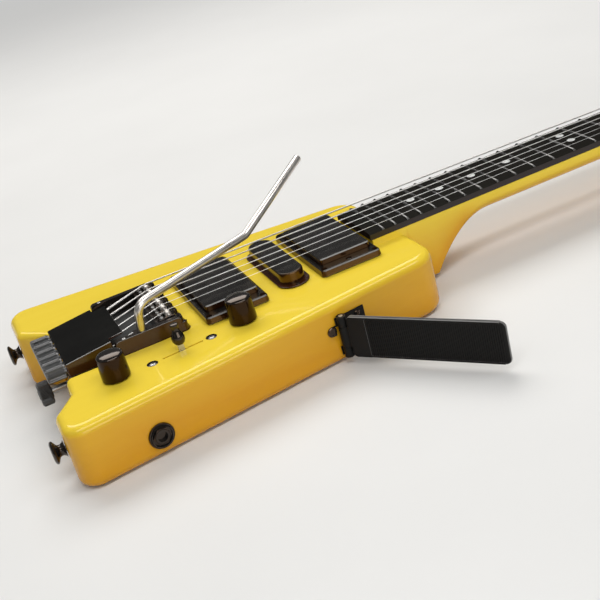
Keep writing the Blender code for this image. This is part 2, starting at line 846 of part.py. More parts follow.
def build_tuner_block():
    block = box("tuner_block", (BLOCK_TAIL, -BLOCK_HALF, BLOCK_TOP - BLOCK_FLOOR),
                (BLOCK_FRONT, BLOCK_HALF, BLOCK_TOP), BLACK_METAL)
    wall_half = BLOCK_HALF - COVER_WALL - RUNNING
    inside = BLOCK_TOP - BLOCK_FLOOR / 2
    wall = box("tail_wall", (BLOCK_TAIL, -wall_half, inside),
               (BLOCK_TAIL + TAIL_WALL, wall_half, TOP + TAIL_WALL_RISE))
    tongue = box("tongue", (BLOCK_TAIL, -TONGUE_HALF, TOP - TONGUE_DEPTH),
                 (BLOCK_TAIL + TAIL_WALL, TONGUE_HALF, inside))
    fuse(block, wall, tongue)
    for number in range(STRINGS):
        y = string_offset(number) * TUNER_PITCH
        cut(block, cylinder("rod_hole_cut", (BLOCK_TAIL - BEYOND, y, TUNER_Z),
                            (BLOCK_TAIL + TAIL_WALL + SEAT, y, TUNER_Z), ROD_RADIUS + RUNNING, sides=12))
    cut(block, cylinder("spring_rod_hole_cut", (BLOCK_TAIL - BEYOND, 0, SPRING_Z),
                        (BLOCK_TAIL + TAIL_WALL + BEYOND, 0, SPRING_Z), SPRING_ROD_RADIUS + RUNNING,
                        sides=16))
    return block


def cover_roof(x):
    return TOP + COVER_TAIL_RISE + COVER_SLOPE * (x - COVER_TAIL)


def build_cover():
    low = BLOCK_TOP + SEAT
    outer = [(COVER_TAIL, low), (COVER_STEP, low), (COVER_STEP, cover_roof(COVER_STEP) - COVER_ROOF),
             (COVER_LIP, cover_roof(COVER_LIP) - COVER_ROOF), (COVER_LIP, cover_roof(COVER_LIP)),
             (COVER_TAIL, cover_roof(COVER_TAIL))]
    cover = slab("bridge_cover", outer, -BLOCK_HALF, BLOCK_HALF, BLACK_METAL, upright=True)
    tail = COVER_TAIL - BEYOND
    lip = COVER_LIP + BEYOND
    inner = [(tail, low - BEYOND), (lip, low - BEYOND), (lip, cover_roof(lip) - COVER_ROOF),
             (tail, cover_roof(tail) - COVER_ROOF)]
    half = BLOCK_HALF - COVER_WALL
    cut(cover, slab("cover_hollow_cut", inner, -half, half, upright=True))
    for side in (-1, 1):
        near = side * COVER_LIP_HALF
        far = side * (BLOCK_HALF + BEYOND)
        cut(cover, box("cover_corner_cut", (COVER_STEP, min(near, far), 0),
                       (lip, max(near, far), 2 * TOP)))
    return cover


def build_saddles():
    saddles = []
    for number in range(STRINGS):
        y = string_offset(number) * BRIDGE_PITCH
        half = SADDLE_WIDTH / 2
        saddle = box("saddle_%d" % (number + 1), (SADDLE_TAIL, y - half, SADDLE_LOW),
                     (SADDLE_FRONT, y + half, SADDLE_LOW + SADDLE_HEIGHT), BLACK_METAL)
        reach = ROLLER_LENGTH / 2
        fuse(saddle, cylinder("roller", (0, y - reach, ROLLER_Z), (0, y + reach, ROLLER_Z),
                              ROLLER_RADIUS, sides=16))
        saddles.append(saddle)
    return saddles


def build_tuners():
    pieces = []
    for number in range(STRINGS):
        y = string_offset(number) * TUNER_PITCH
        length = TUNER_HEAD - SEAT - TUNER_TAIL
        chamfer = 0.12 * TUNER_RADIUS
        rod = TUNER_HEAD - SEAT - ROD_END
        profile = [(0, length), (TUNER_RADIUS - chamfer, length), (TUNER_RADIUS, length - chamfer),
                   (TUNER_RADIUS, chamfer), (TUNER_RADIUS - chamfer, 0), (ROD_RADIUS, 0),
                   (ROD_RADIUS, rod), (0, rod)]
        place = (TUNER_HEAD - SEAT, y, TUNER_Z)
        pieces.append(turned("tuner_knob_%d" % (number + 1), profile, place, (-1, 0, 0), BLACK_METAL))
    return pieces


def build_jaws():
    jaws = []
    for number in range(STRINGS):
        y = string_offset(number) * TUNER_PITCH
        jaw = box("tuner_jaw_%d" % (number + 1), (JAW_TAIL, y - JAW_HALF, JAW_LOW),
                  (JAW_FRONT, y + JAW_HALF, TOP + JAW_RISE), STEEL)
        bore = cylinder("jaw_bore_cut", (JAW_TAIL - BEYOND, y, TUNER_Z),
                        (JAW_POCKET_TAIL + ROD_RADIUS, y, TUNER_Z), ROD_RADIUS + RUNNING, sides=12)
        ball_z = string_path(number)[0].z
        reach = BALL_RADIUS + RUNNING
        high = TOP + JAW_RISE + BEYOND
        well = box("jaw_well_cut", (JAW_POCKET_TAIL, y - reach, ball_z - reach),
                   (JAW_POCKET_FRONT, y + reach, high))
        slot = box("jaw_slot_cut", (JAW_POCKET_FRONT - RUNNING, y - JAW_SLOT_HALF, ball_z - JAW_SLOT_HALF),
                   (JAW_FRONT + BEYOND, y + JAW_SLOT_HALF, high))
        cut(jaw, bore, well, slot)
        jaws.append(jaw)
    return jaws


def build_spring_knob():
    rod = SPRING_KNOB_HEAD - SPRING_ROD_END
    head = SPRING_KNOB_HEAD - SPRING_KNOB_TAIL
    chamfer = 0.1 * SPRING_KNOB_RADIUS
    hole = SPRING_WIRE + RUNNING
    depth = HOOK_DEPTH + RUNNING
    profile = [(0, head), (SPRING_KNOB_RADIUS - chamfer, head), (SPRING_KNOB_RADIUS, head - chamfer),
               (SPRING_KNOB_RADIUS, chamfer), (SPRING_KNOB_RADIUS - chamfer, 0),
               (SPRING_ROD_RADIUS, 0), (SPRING_ROD_RADIUS, rod), (hole, rod), (hole, rod + depth),
               (0, rod + depth)]
    return turned("spring_tension_knob", profile, (SPRING_KNOB_HEAD, 0, SPRING_Z), (-1, 0, 0),
                  BLACK_METAL, 24)


def spring_points():
    """Straight end, coils that grow from the axis and shrink to it again, straight end."""
    start = SPRING_ROD_END - HOOK_DEPTH
    end = POCKET_STEP - SEAT - ANCHOR_PLATE - ANCHOR_BOSS + HOOK_DEPTH
    points = [Vector((start, 0, SPRING_Z)), Vector((SPRING_TAIL - SPRING_WIRE, 0, SPRING_Z))]
    per_turn = 8
    count = SPRING_TURNS * per_turn
    for step in range(count + 1):
        share = step / count
        grow = min(1.0, step * 2 / per_turn, (count - step) * 2 / per_turn)
        angle = 2 * math.pi * step / per_turn
        x = SPRING_TAIL + share * (SPRING_HEAD - SPRING_TAIL)
        radius = SPRING_RADIUS * grow
        if 0 < grow:
            points.append(Vector((x, radius * math.cos(angle), SPRING_Z + radius * math.sin(angle))))
    points += [Vector((SPRING_HEAD + SPRING_WIRE, 0, SPRING_Z)), Vector((end, 0, SPRING_Z))]
    return points


def build_spring():
    points = spring_points()
    gap = (SPRING_HEAD - SPRING_TAIL) / SPRING_TURNS - 2 * SPRING_WIRE
    print("balance spring: least gap between coils %.2f mm" % (gap * 1000))
    return tube("tremolo_spring", points, SPRING_WIRE, STEEL, None, 1)


def build_anchor():
    back = POCKET_STEP - SEAT
    low = SPRING_Z - ANCHOR_HEIGHT / 2
    plate = box("spring_anchor", (back - ANCHOR_PLATE, -ANCHOR_HALF, low),
                (back, ANCHOR_HALF, low + ANCHOR_HEIGHT), STEEL)
    tip = back - ANCHOR_PLATE - ANCHOR_BOSS
    boss = cylinder("anchor_boss", (tip, 0, SPRING_Z), (back - ANCHOR_PLATE / 2, 0, SPRING_Z),
                    ANCHOR_BOSS_RADIUS, sides=16)
    fuse(plate, boss)
    cut(plate, cylinder("anchor_hole_cut", (tip - BEYOND, 0, SPRING_Z),
                        (tip + HOOK_DEPTH + RUNNING, 0, SPRING_Z), SPRING_WIRE + RUNNING, sides=12))
    return plate


def smooth_path(corners, radius, segments=5):
    """Round the inner corners of a path in space."""
    points = [Vector(corners[0])]
    for before, here, after in zip(corners, corners[1:], corners[2:]):
        here = Vector(here)
        back = (Vector(before) - here).normalized()
        ahead = (Vector(after) - here).normalized()
        half = back.angle(ahead) / 2
        reach = min(radius / math.tan(half), 0.45 * (Vector(before) - here).length)
        first = here + back * reach
        last = here + ahead * reach
        for step in range(segments + 1):
            share = step / segments
            points.append(first * (1 - share) ** 2 + here * 2 * share * (1 - share) + last * share ** 2)
    points.append(Vector(corners[-1]))
    return points


def build_arm():
    corners = [(ARM_X, ARM_Y, TOP + ARM_FOOT), (ARM_X, ARM_Y, TOP + FRAME_RISE + 0.001)]
    for x, y, rise in (ARM_FIRST_BEND, ARM_SECOND_BEND, ARM_TIP):
        corners.append((x, y, TOP + rise))
    return tube("tremolo_arm", smooth_path(corners, ARM_BEND), ARM_RADIUS, CHROME, None, 3)


def build_bridge():
    rock = axis_empty("tremolo_axis", (PIVOT_X, 0, PIVOT_Z))
    carry(rock, build_frame(), build_tuner_block(), build_cover(), *build_saddles(),
          *build_tuners(), *build_jaws(), build_spring_knob())
    arm_axis = axis_empty("tremolo_arm_axis", (ARM_X, ARM_Y, TOP + FRAME_RISE))
    carry(arm_axis, build_arm())
    carry(rock, arm_axis)


# Pickups

def build_pickups():
    for name, x in (("bridge_pickup", BRIDGE_RING_X), ("neck_pickup", NECK_RING_X)):
        ring = slab(name + "_ring", rectangle(x, 0, RING_LENGTH, RING_WIDTH, RING_CORNER),
                    TOP + SEAT, TOP + RING_RISE, BLACK_PLASTIC)
        hole = rectangle(x, 0, HUMBUCKER_LENGTH + 2 * PICKUP_GAP, HUMBUCKER_WIDTH + 2 * PICKUP_GAP,
                         HUMBUCKER_CORNER)
        cut(ring, slab(name + "_ring_cut", hole, TOP - BEYOND, TOP + RING_RISE + BEYOND))
        slab(name, rectangle(x, 0, HUMBUCKER_LENGTH, HUMBUCKER_WIDTH, HUMBUCKER_CORNER),
             TOP - HUMBUCKER_DROP, TOP + HUMBUCKER_RISE, SATIN_PLASTIC)
    middle = slab("middle_pickup", rectangle(MIDDLE_X, 0, MIDDLE_LENGTH, MIDDLE_WIDTH,
                                             MIDDLE_LENGTH / 2 - SEAT, 6),
                  TOP - MIDDLE_DROP, TOP + MIDDLE_RISE, SATIN_PLASTIC)
    fuse(middle, slab("middle_flange", rectangle(MIDDLE_X, 0, FLANGE_LENGTH, FLANGE_WIDTH,
                                                 FLANGE_LENGTH / 2 - SEAT, 6),
                      TOP + SEAT, TOP + SEAT + FLANGE_THICKNESS))


# Controls

def cavity_outline(margin):
    """Outline of the control cavity, grown by a margin on every side."""
    tail = CAVITY_TAIL - margin
    front = CAVITY_FRONT + margin
    inner = -CAVITY_INNER + margin
    corners = [(tail, -side_at(tail) + CAVITY_WALL - margin, CAVITY_CORNER),
               (front, -side_at(front) + CAVITY_WALL - margin, CAVITY_CORNER),
               (front, inner, CAVITY_CORNER), (tail, inner, CAVITY_CORNER)]
    return round_corners(corners, 4)


def build_cavity(treble):
    roof = TOP - CAVITY_ROOF
    hollow = slab("cavity_cut", cavity_outline(0), -BEYOND, roof)
    recess = slab("cavity_recess_cut", cavity_outline(COVER_LEDGE + SEAT), -BEYOND, COVER_PLATE + SEAT)
    cut(treble, hollow, recess)
    slab("control_cavity_cover", cavity_outline(COVER_LEDGE), 0.0, COVER_PLATE, SATIN_PLASTIC)


def build_control(name, place, treble):
    x, y = place
    roof = TOP - CAVITY_ROOF
    high = roof - SEAT
    hole = cylinder(name + "_hole_cut", (x, y, roof - BEYOND), (x, y, TOP + BEYOND), BUSH_RADIUS + SEAT)
    cut(treble, hole)
    pot = cylinder(name + "_pot", (x, y, high - POT_DEPTH), (x, y, high), POT_RADIUS, STEEL)
    fuse(pot, cylinder(name + "_bush", (x, y, high - POT_DEPTH / 2), (x, y, TOP + BUSH_RISE),
                       BUSH_RADIUS))
    cut(pot, cylinder(name + "_shaft_cut", (x, y, TOP - SHAFT_DROP - RUNNING), (x, y, TOP + BEYOND),
                      SHAFT_RADIUS + RUNNING))
    cylinder(name + "_pot_shaft", (x, y, TOP - SHAFT_DROP), (x, y, TOP + SHAFT_RISE), SHAFT_RADIUS, STEEL)
    base = KNOB_LIFT
    top = KNOB_LIFT + KNOB_HEIGHT
    bore = SHAFT_RADIUS + RUNNING
    skirt = BUSH_RADIUS + 2 * ROUT_GAP
    ledge = BUSH_RISE + ROUT_GAP
    profile = [(0, top), (0.5 * KNOB_TOP_RADIUS, top - 0.12 * KNOB_DOME),
               (0.8 * KNOB_TOP_RADIUS, top - 0.4 * KNOB_DOME), (KNOB_TOP_RADIUS, top - KNOB_DOME),
               (KNOB_BASE_RADIUS, base), (skirt, base), (skirt, ledge), (bore, ledge),
               (bore, SHAFT_RISE + RUNNING), (0, SHAFT_RISE + RUNNING)]
    turned(name + "_knob", profile, (x, y, TOP), (0, 0, 1), BLACK_PLASTIC, 28)


def build_selector(treble):
    x, y = SELECTOR_PLACE
    frame = axis_empty("selector_place", (x, y, 0), SELECTOR_TURN)
    roof = TOP - CAVITY_ROOF
    high = roof - SEAT
    half_slot = SELECTOR_SLOT / 2
    shift = SELECTOR_SLOT_SHIFT
    slot = box("selector_slot_cut", (shift - half_slot, -SELECTOR_SLOT_HALF, roof - 2 * BEYOND),
               (shift + half_slot, SELECTOR_SLOT_HALF, TOP + BEYOND))
    mount_on(frame, slot)
    cut(treble, slot)

    pivot_z = TOP - SELECTOR_PIVOT_DROP
    foot = pivot_z - 2 * LEVER_PIN - SWITCH_CHEEK
    switch = box("selector_switch", (-SWITCH_LENGTH / 2, -SWITCH_HALF, high - SWITCH_PLATE),
                 (SWITCH_LENGTH / 2, SWITCH_HALF, high), STEEL)
    reach = SWITCH_CHEEK_LENGTH / 2
    body = box("switch_body", (-reach, -SWITCH_HALF + SEAT, foot),
               (reach, SWITCH_HALF - SEAT, high - SWITCH_PLATE / 2))
    inside = SWITCH_HALF - SEAT - SWITCH_CHEEK
    room = box("switch_room_cut", (-reach - BEYOND, -inside, foot + SWITCH_CHEEK),
               (reach + BEYOND, inside, high - SWITCH_PLATE))
    pin_hole = cylinder("switch_pin_cut", (0, -SWITCH_HALF - BEYOND, pivot_z),
                        (0, SWITCH_HALF + BEYOND, pivot_z), LEVER_PIN + RUNNING, sides=16)
    lever_slot = box("switch_slot_cut", (shift - half_slot, -SELECTOR_SLOT_HALF, high - 2 * SWITCH_PLATE),
                     (shift + half_slot, SELECTOR_SLOT_HALF, high + SEAT))
    lever = box("selector_lever", (-LEVER_WIDTH / 2, -LEVER_HALF, pivot_z),
                (LEVER_WIDTH / 2, LEVER_HALF, TOP + TIP_LOW + TIP_HOLE - RUNNING), STEEL)
    pin = cylinder("lever_pin", (0, -SWITCH_HALF, pivot_z), (0, SWITCH_HALF, pivot_z), LEVER_PIN, sides=16)
    tip = cylinder("selector_tip", (0, 0, TOP + TIP_LOW), (0, 0, TOP + TIP_HIGH), TIP_RADIUS,
                   BLACK_PLASTIC)
    soften(tip, 0.0012, 2)
    socket = box("tip_socket_cut", (-LEVER_WIDTH / 2 - SEAT, -LEVER_HALF - SEAT, TOP + TIP_LOW - BEYOND),
                 (LEVER_WIDTH / 2 + SEAT, LEVER_HALF + SEAT, TOP + TIP_LOW + TIP_HOLE))
    mount_on(frame, switch, body, room, pin_hole, lever_slot, lever, pin, tip, socket)
    fuse(switch, body)
    cut(switch, room, pin_hole, lever_slot)
    fuse(lever, pin)
    cut(tip, socket)
    lever_axis = axis_empty("selector_lever_axis", (x, y, pivot_z), SELECTOR_TURN)
    carry(lever_axis, lever, tip)
    for piece in (lever, tip):
        piece.matrix_parent_inverse = lever_axis.matrix_world.inverted() @ frame.matrix_world


def build_jack(treble):
    face = Vector((JACK_X, -side_at(JACK_X), JACK_HEIGHT))
    outward = Vector((SIDE_TAPER, -1, 0)).normalized()

    def at(distance):
        return face + outward * distance

    wall = CAVITY_WALL * math.cos(math.atan(SIDE_TAPER))
    cut(treble, cylinder("jack_hole_cut", at(-wall - BEYOND), at(BEYOND), JACK_THREAD + SEAT))
    inner = -wall - SEAT
    back = inner - JACK_BODY_LENGTH
    jack = cylinder("output_jack", at(back), at(inner), JACK_BODY, BLACK_PLASTIC)
    fuse(jack, cylinder("jack_thread", at(inner - JACK_END_WALL), at(JACK_RING_THICKNESS), JACK_THREAD))
    cut(jack, cylinder("jack_bore_cut", at(back + JACK_END_WALL), at(BEYOND), JACK_BORE))
    ring = cylinder("output_jack_nut", at(SEAT), at(JACK_RING_THICKNESS), JACK_RING, BLACK_METAL)
    cut(ring, cylinder("jack_ring_cut", at(-BEYOND), at(BEYOND), JACK_THREAD + SEAT))


def build_controls(treble):
    build_cavity(treble)
    build_control("volume", VOLUME_PLACE, treble)
    build_control("tone", TONE_PLACE, treble)
    build_selector(treble)
    build_jack(treble)


# Strap buttons and leg rest

def build_strap_buttons(bass, treble):
    neck_low = 0.2 * BUTTON_LENGTH
    neck_high = 0.5 * BUTTON_LENGTH
    profile = [(0, BUTTON_LENGTH), (0.8 * BUTTON_RADIUS, BUTTON_LENGTH),
               (BUTTON_RADIUS, 0.87 * BUTTON_LENGTH), (BUTTON_RADIUS, 0.76 * BUTTON_LENGTH),
               (BUTTON_NECK, neck_high), (BUTTON_NECK, neck_low), (0.75 * BUTTON_RADIUS, SEAT),
               (BUTTON_SCREW, SEAT), (BUTTON_SCREW, -BUTTON_SCREW_LENGTH), (0, -BUTTON_SCREW_LENGTH)]
    for name, side, wing in (("bass", 1, bass), ("treble", -1, treble)):
        place = Vector((BODY_TAIL, side * BUTTON_Y, BUTTON_HEIGHT))
        turned("strap_button_" + name, profile, place, (-1, 0, 0), BLACK_METAL)
        deep = Vector((BUTTON_SCREW_LENGTH + SEAT, 0, 0))
        cut(wing, cylinder("button_hole_cut", place - Vector((BEYOND, 0, 0)), place + deep,
                           BUTTON_SCREW + SEAT, sides=16))


def build_leg_rest():
    outward = Vector((SIDE_TAPER, -1, 0)).normalized()
    face = Vector((LEG_X, -side_at(LEG_X), 0))
    axis = face + outward * LEG_STANDOFF
    side_turn = math.atan(SIDE_TAPER)
    side_frame = axis_empty("leg_rest_bracket_place", axis, side_turn)
    leg_frame = axis_empty("leg_rest_axis", axis, LEG_TURN)

    leaf_in = LEG_STANDOFF - SEAT
    leaf_out = leaf_in - LEAF_THICKNESS
    bracket = box("leg_rest_bracket", (LEAF_TAIL, leaf_out, LEG_LOW + LEAF_INSET),
                  (LEAF_HEAD, leaf_in, LEG_HIGH - LEAF_INSET), BLACK_METAL)
    strip = box("boss_strip", (BOSS_TAIL, leaf_out + SEAT, BOSS_HEIGHT - 0.8 * BOSS_RADIUS),
                (LEAF_TAIL + LEAF_THICKNESS, leaf_in - SEAT / 2, BOSS_HEIGHT + 0.8 * BOSS_RADIUS))
    boss = cylinder("bracket_boss", (BOSS_TAIL, leaf_out - SEAT / 2, BOSS_HEIGHT),
                    (BOSS_TAIL, leaf_in, BOSS_HEIGHT), BOSS_RADIUS)
    clear = KNUCKLE_RADIUS + 3 * RUNNING
    room = box("knuckle_room_cut", (-clear, leaf_out - BEYOND, KNUCKLE_LOW - RUNNING),
               (clear, leaf_in + BEYOND, KNUCKLE_HIGH + RUNNING))
    lower = cylinder("lower_knuckle", (0, 0, LEG_LOW), (0, 0, KNUCKLE_LOW - RUNNING), KNUCKLE_RADIUS)
    upper = cylinder("upper_knuckle", (0, 0, KNUCKLE_HIGH + RUNNING), (0, 0, LEG_HIGH), KNUCKLE_RADIUS)
    pin = cylinder("hinge_pin", (0, 0, LEG_LOW + SEAT), (0, 0, LEG_HIGH - SEAT), HINGE_PIN, sides=16)
    mount_on(side_frame, bracket, strip, boss, room, lower, upper, pin)
    fuse(bracket, strip, boss)
    cut(bracket, room)
    fuse(bracket, lower, upper, pin)

    start = KNUCKLE_RADIUS + 3 * RUNNING
    outline = round_corners([(start, LEG_LOW, LEG_CORNER), (LEG_LENGTH, LEG_LOW, LEG_CORNER),
                             (LEG_LENGTH, LEG_HIGH, LEG_CORNER), (start, LEG_HIGH, LEG_CORNER)], 4)
    leg = slab("leg_rest", outline, -LEG_HALF, LEG_HALF, SATIN_PLASTIC, upright=True)
    strap = box("leg_strap", (0, -LEG_HALF + SEAT, KNUCKLE_LOW), (start + LEG_CORNER, LEG_HALF - SEAT,
                                                                KNUCKLE_HIGH))
    knuckle = cylinder("leg_knuckle", (0, 0, KNUCKLE_LOW), (0, 0, KNUCKLE_HIGH), KNUCKLE_RADIUS)
    bore = cylinder("leg_bore_cut", (0, 0, LEG_LOW), (0, 0, LEG_HIGH), HINGE_PIN + RUNNING, sides=16)
    mount_on(leg_frame, leg, strap, knuckle, bore)
    fuse(leg, strap, knuckle)
    cut(leg, bore)


def main():
    core, bass, treble = build_body()
    build_truss_rod()
    build_fretboard()
    build_headpiece()
    build_posts()
    build_bridge()
    build_anchor()
    build_spring()
    build_strings()
    build_pickups()
    build_controls(treble)
    build_strap_buttons(bass, treble)
    build_leg_rest()


main()
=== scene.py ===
import math

import bmesh
import bpy
from mathutils import Matrix, Vector


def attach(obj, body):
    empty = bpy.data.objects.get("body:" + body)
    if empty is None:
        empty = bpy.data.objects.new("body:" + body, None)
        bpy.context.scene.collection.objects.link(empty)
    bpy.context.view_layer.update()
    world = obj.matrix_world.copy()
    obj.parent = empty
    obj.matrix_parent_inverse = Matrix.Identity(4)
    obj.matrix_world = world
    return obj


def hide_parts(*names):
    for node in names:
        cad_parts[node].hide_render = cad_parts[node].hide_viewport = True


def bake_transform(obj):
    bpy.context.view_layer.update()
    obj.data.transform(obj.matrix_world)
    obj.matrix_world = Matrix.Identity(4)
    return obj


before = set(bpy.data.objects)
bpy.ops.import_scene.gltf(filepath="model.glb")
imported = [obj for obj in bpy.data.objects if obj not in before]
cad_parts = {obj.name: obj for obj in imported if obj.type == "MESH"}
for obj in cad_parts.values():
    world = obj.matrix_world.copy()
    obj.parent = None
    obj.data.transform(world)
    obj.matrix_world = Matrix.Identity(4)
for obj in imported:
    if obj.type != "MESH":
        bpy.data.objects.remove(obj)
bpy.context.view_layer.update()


scene = bpy.context.scene
top = 0.0435  # height of the body's flat face; all lengths are metres


def look(name):
    made = bpy.data.materials.new(name)
    made.use_nodes = True
    return made, made.node_tree, made.node_tree.nodes["Principled BSDF"]


def addNode(tree, kind, **settings):
    node = tree.nodes.new(kind)
    for key, value in settings.items():
        if key in node.inputs:
            node.inputs[key].default_value = value
        else:
            setattr(node, key, value)
    return node


number = "NodeSocketFloat"
vector = "NodeSocketVector"


# Roughness that varies by touch, and a fine bump, in real sizes
def handledGroup():
    tree = bpy.data.node_groups.new("handledSurface", "ShaderNodeTree")
    usual = {"Patch": 40.0, "Fine": 3000.0, "Smooth": 0.3, "Rough": 0.5, "Depth": 0.00002}
    for label, value in usual.items():
        socket = tree.interface.new_socket(name=label, in_out="INPUT", socket_type=number)
        socket.default_value = value
    for label, kind in (("Roughness", number), ("Normal", vector), ("Wear", number)):
        tree.interface.new_socket(name=label, in_out="OUTPUT", socket_type=kind)
    given, out = tree.nodes.new("NodeGroupInput"), tree.nodes.new("NodeGroupOutput")
    place = tree.nodes.new("ShaderNodeTexCoord")
    patch = addNode(tree, "ShaderNodeTexNoise", Detail=4.0, Roughness=0.6)
    fine = addNode(tree, "ShaderNodeTexNoise", Detail=2.0, Roughness=0.5)
    spread = tree.nodes.new("ShaderNodeMapRange")
    spread.inputs["From Min"].default_value = 0.3
    spread.inputs["From Max"].default_value = 0.7
    bump = addNode(tree, "ShaderNodeBump", Strength=1.0)
    join = tree.links.new
    join(place.outputs["Object"], patch.inputs["Vector"])
    join(place.outputs["Object"], fine.inputs["Vector"])
    join(given.outputs["Patch"], patch.inputs["Scale"])
    join(given.outputs["Fine"], fine.inputs["Scale"])
    join(patch.outputs["Fac"], spread.inputs["Value"])
    join(given.outputs["Smooth"], spread.inputs["To Min"])
    join(given.outputs["Rough"], spread.inputs["To Max"])
    join(fine.outputs["Fac"], bump.inputs["Height"])
    join(given.outputs["Depth"], bump.inputs["Distance"])
    join(spread.outputs["Result"], out.inputs["Roughness"])
    join(bump.outputs["Normal"], out.inputs["Normal"])
    join(patch.outputs["Fac"], out.inputs["Wear"])
    return tree


handled = handledGroup()


def useHandled(tree, shader, **values):
    group = tree.nodes.new("ShaderNodeGroup")
    group.node_tree = handled
    for key, value in values.items():
        group.inputs[key].default_value = value
    tree.links.new(group.outputs["Roughness"], shader.inputs["Roughness"])
    tree.links.new(group.outputs["Normal"], shader.inputs["Normal"])
    return group


# Mix of two colours by a factor socket; each colour is three numbers or a socket
def colourMix(tree, factor, first, second):
    mix = addNode(tree, "ShaderNodeMix", data_type="RGBA")
    tree.links.new(factor, mix.inputs["Factor"])
    ends = [socket for socket in mix.inputs if socket.type == "RGBA"]
    for socket, given in zip(ends, (first, second)):
        if isinstance(given, tuple):
            socket.default_value = (*given, 1.0)
        else:
            tree.links.new(given, socket)
    return [socket for socket in mix.outputs if socket.type == "RGBA"][0]


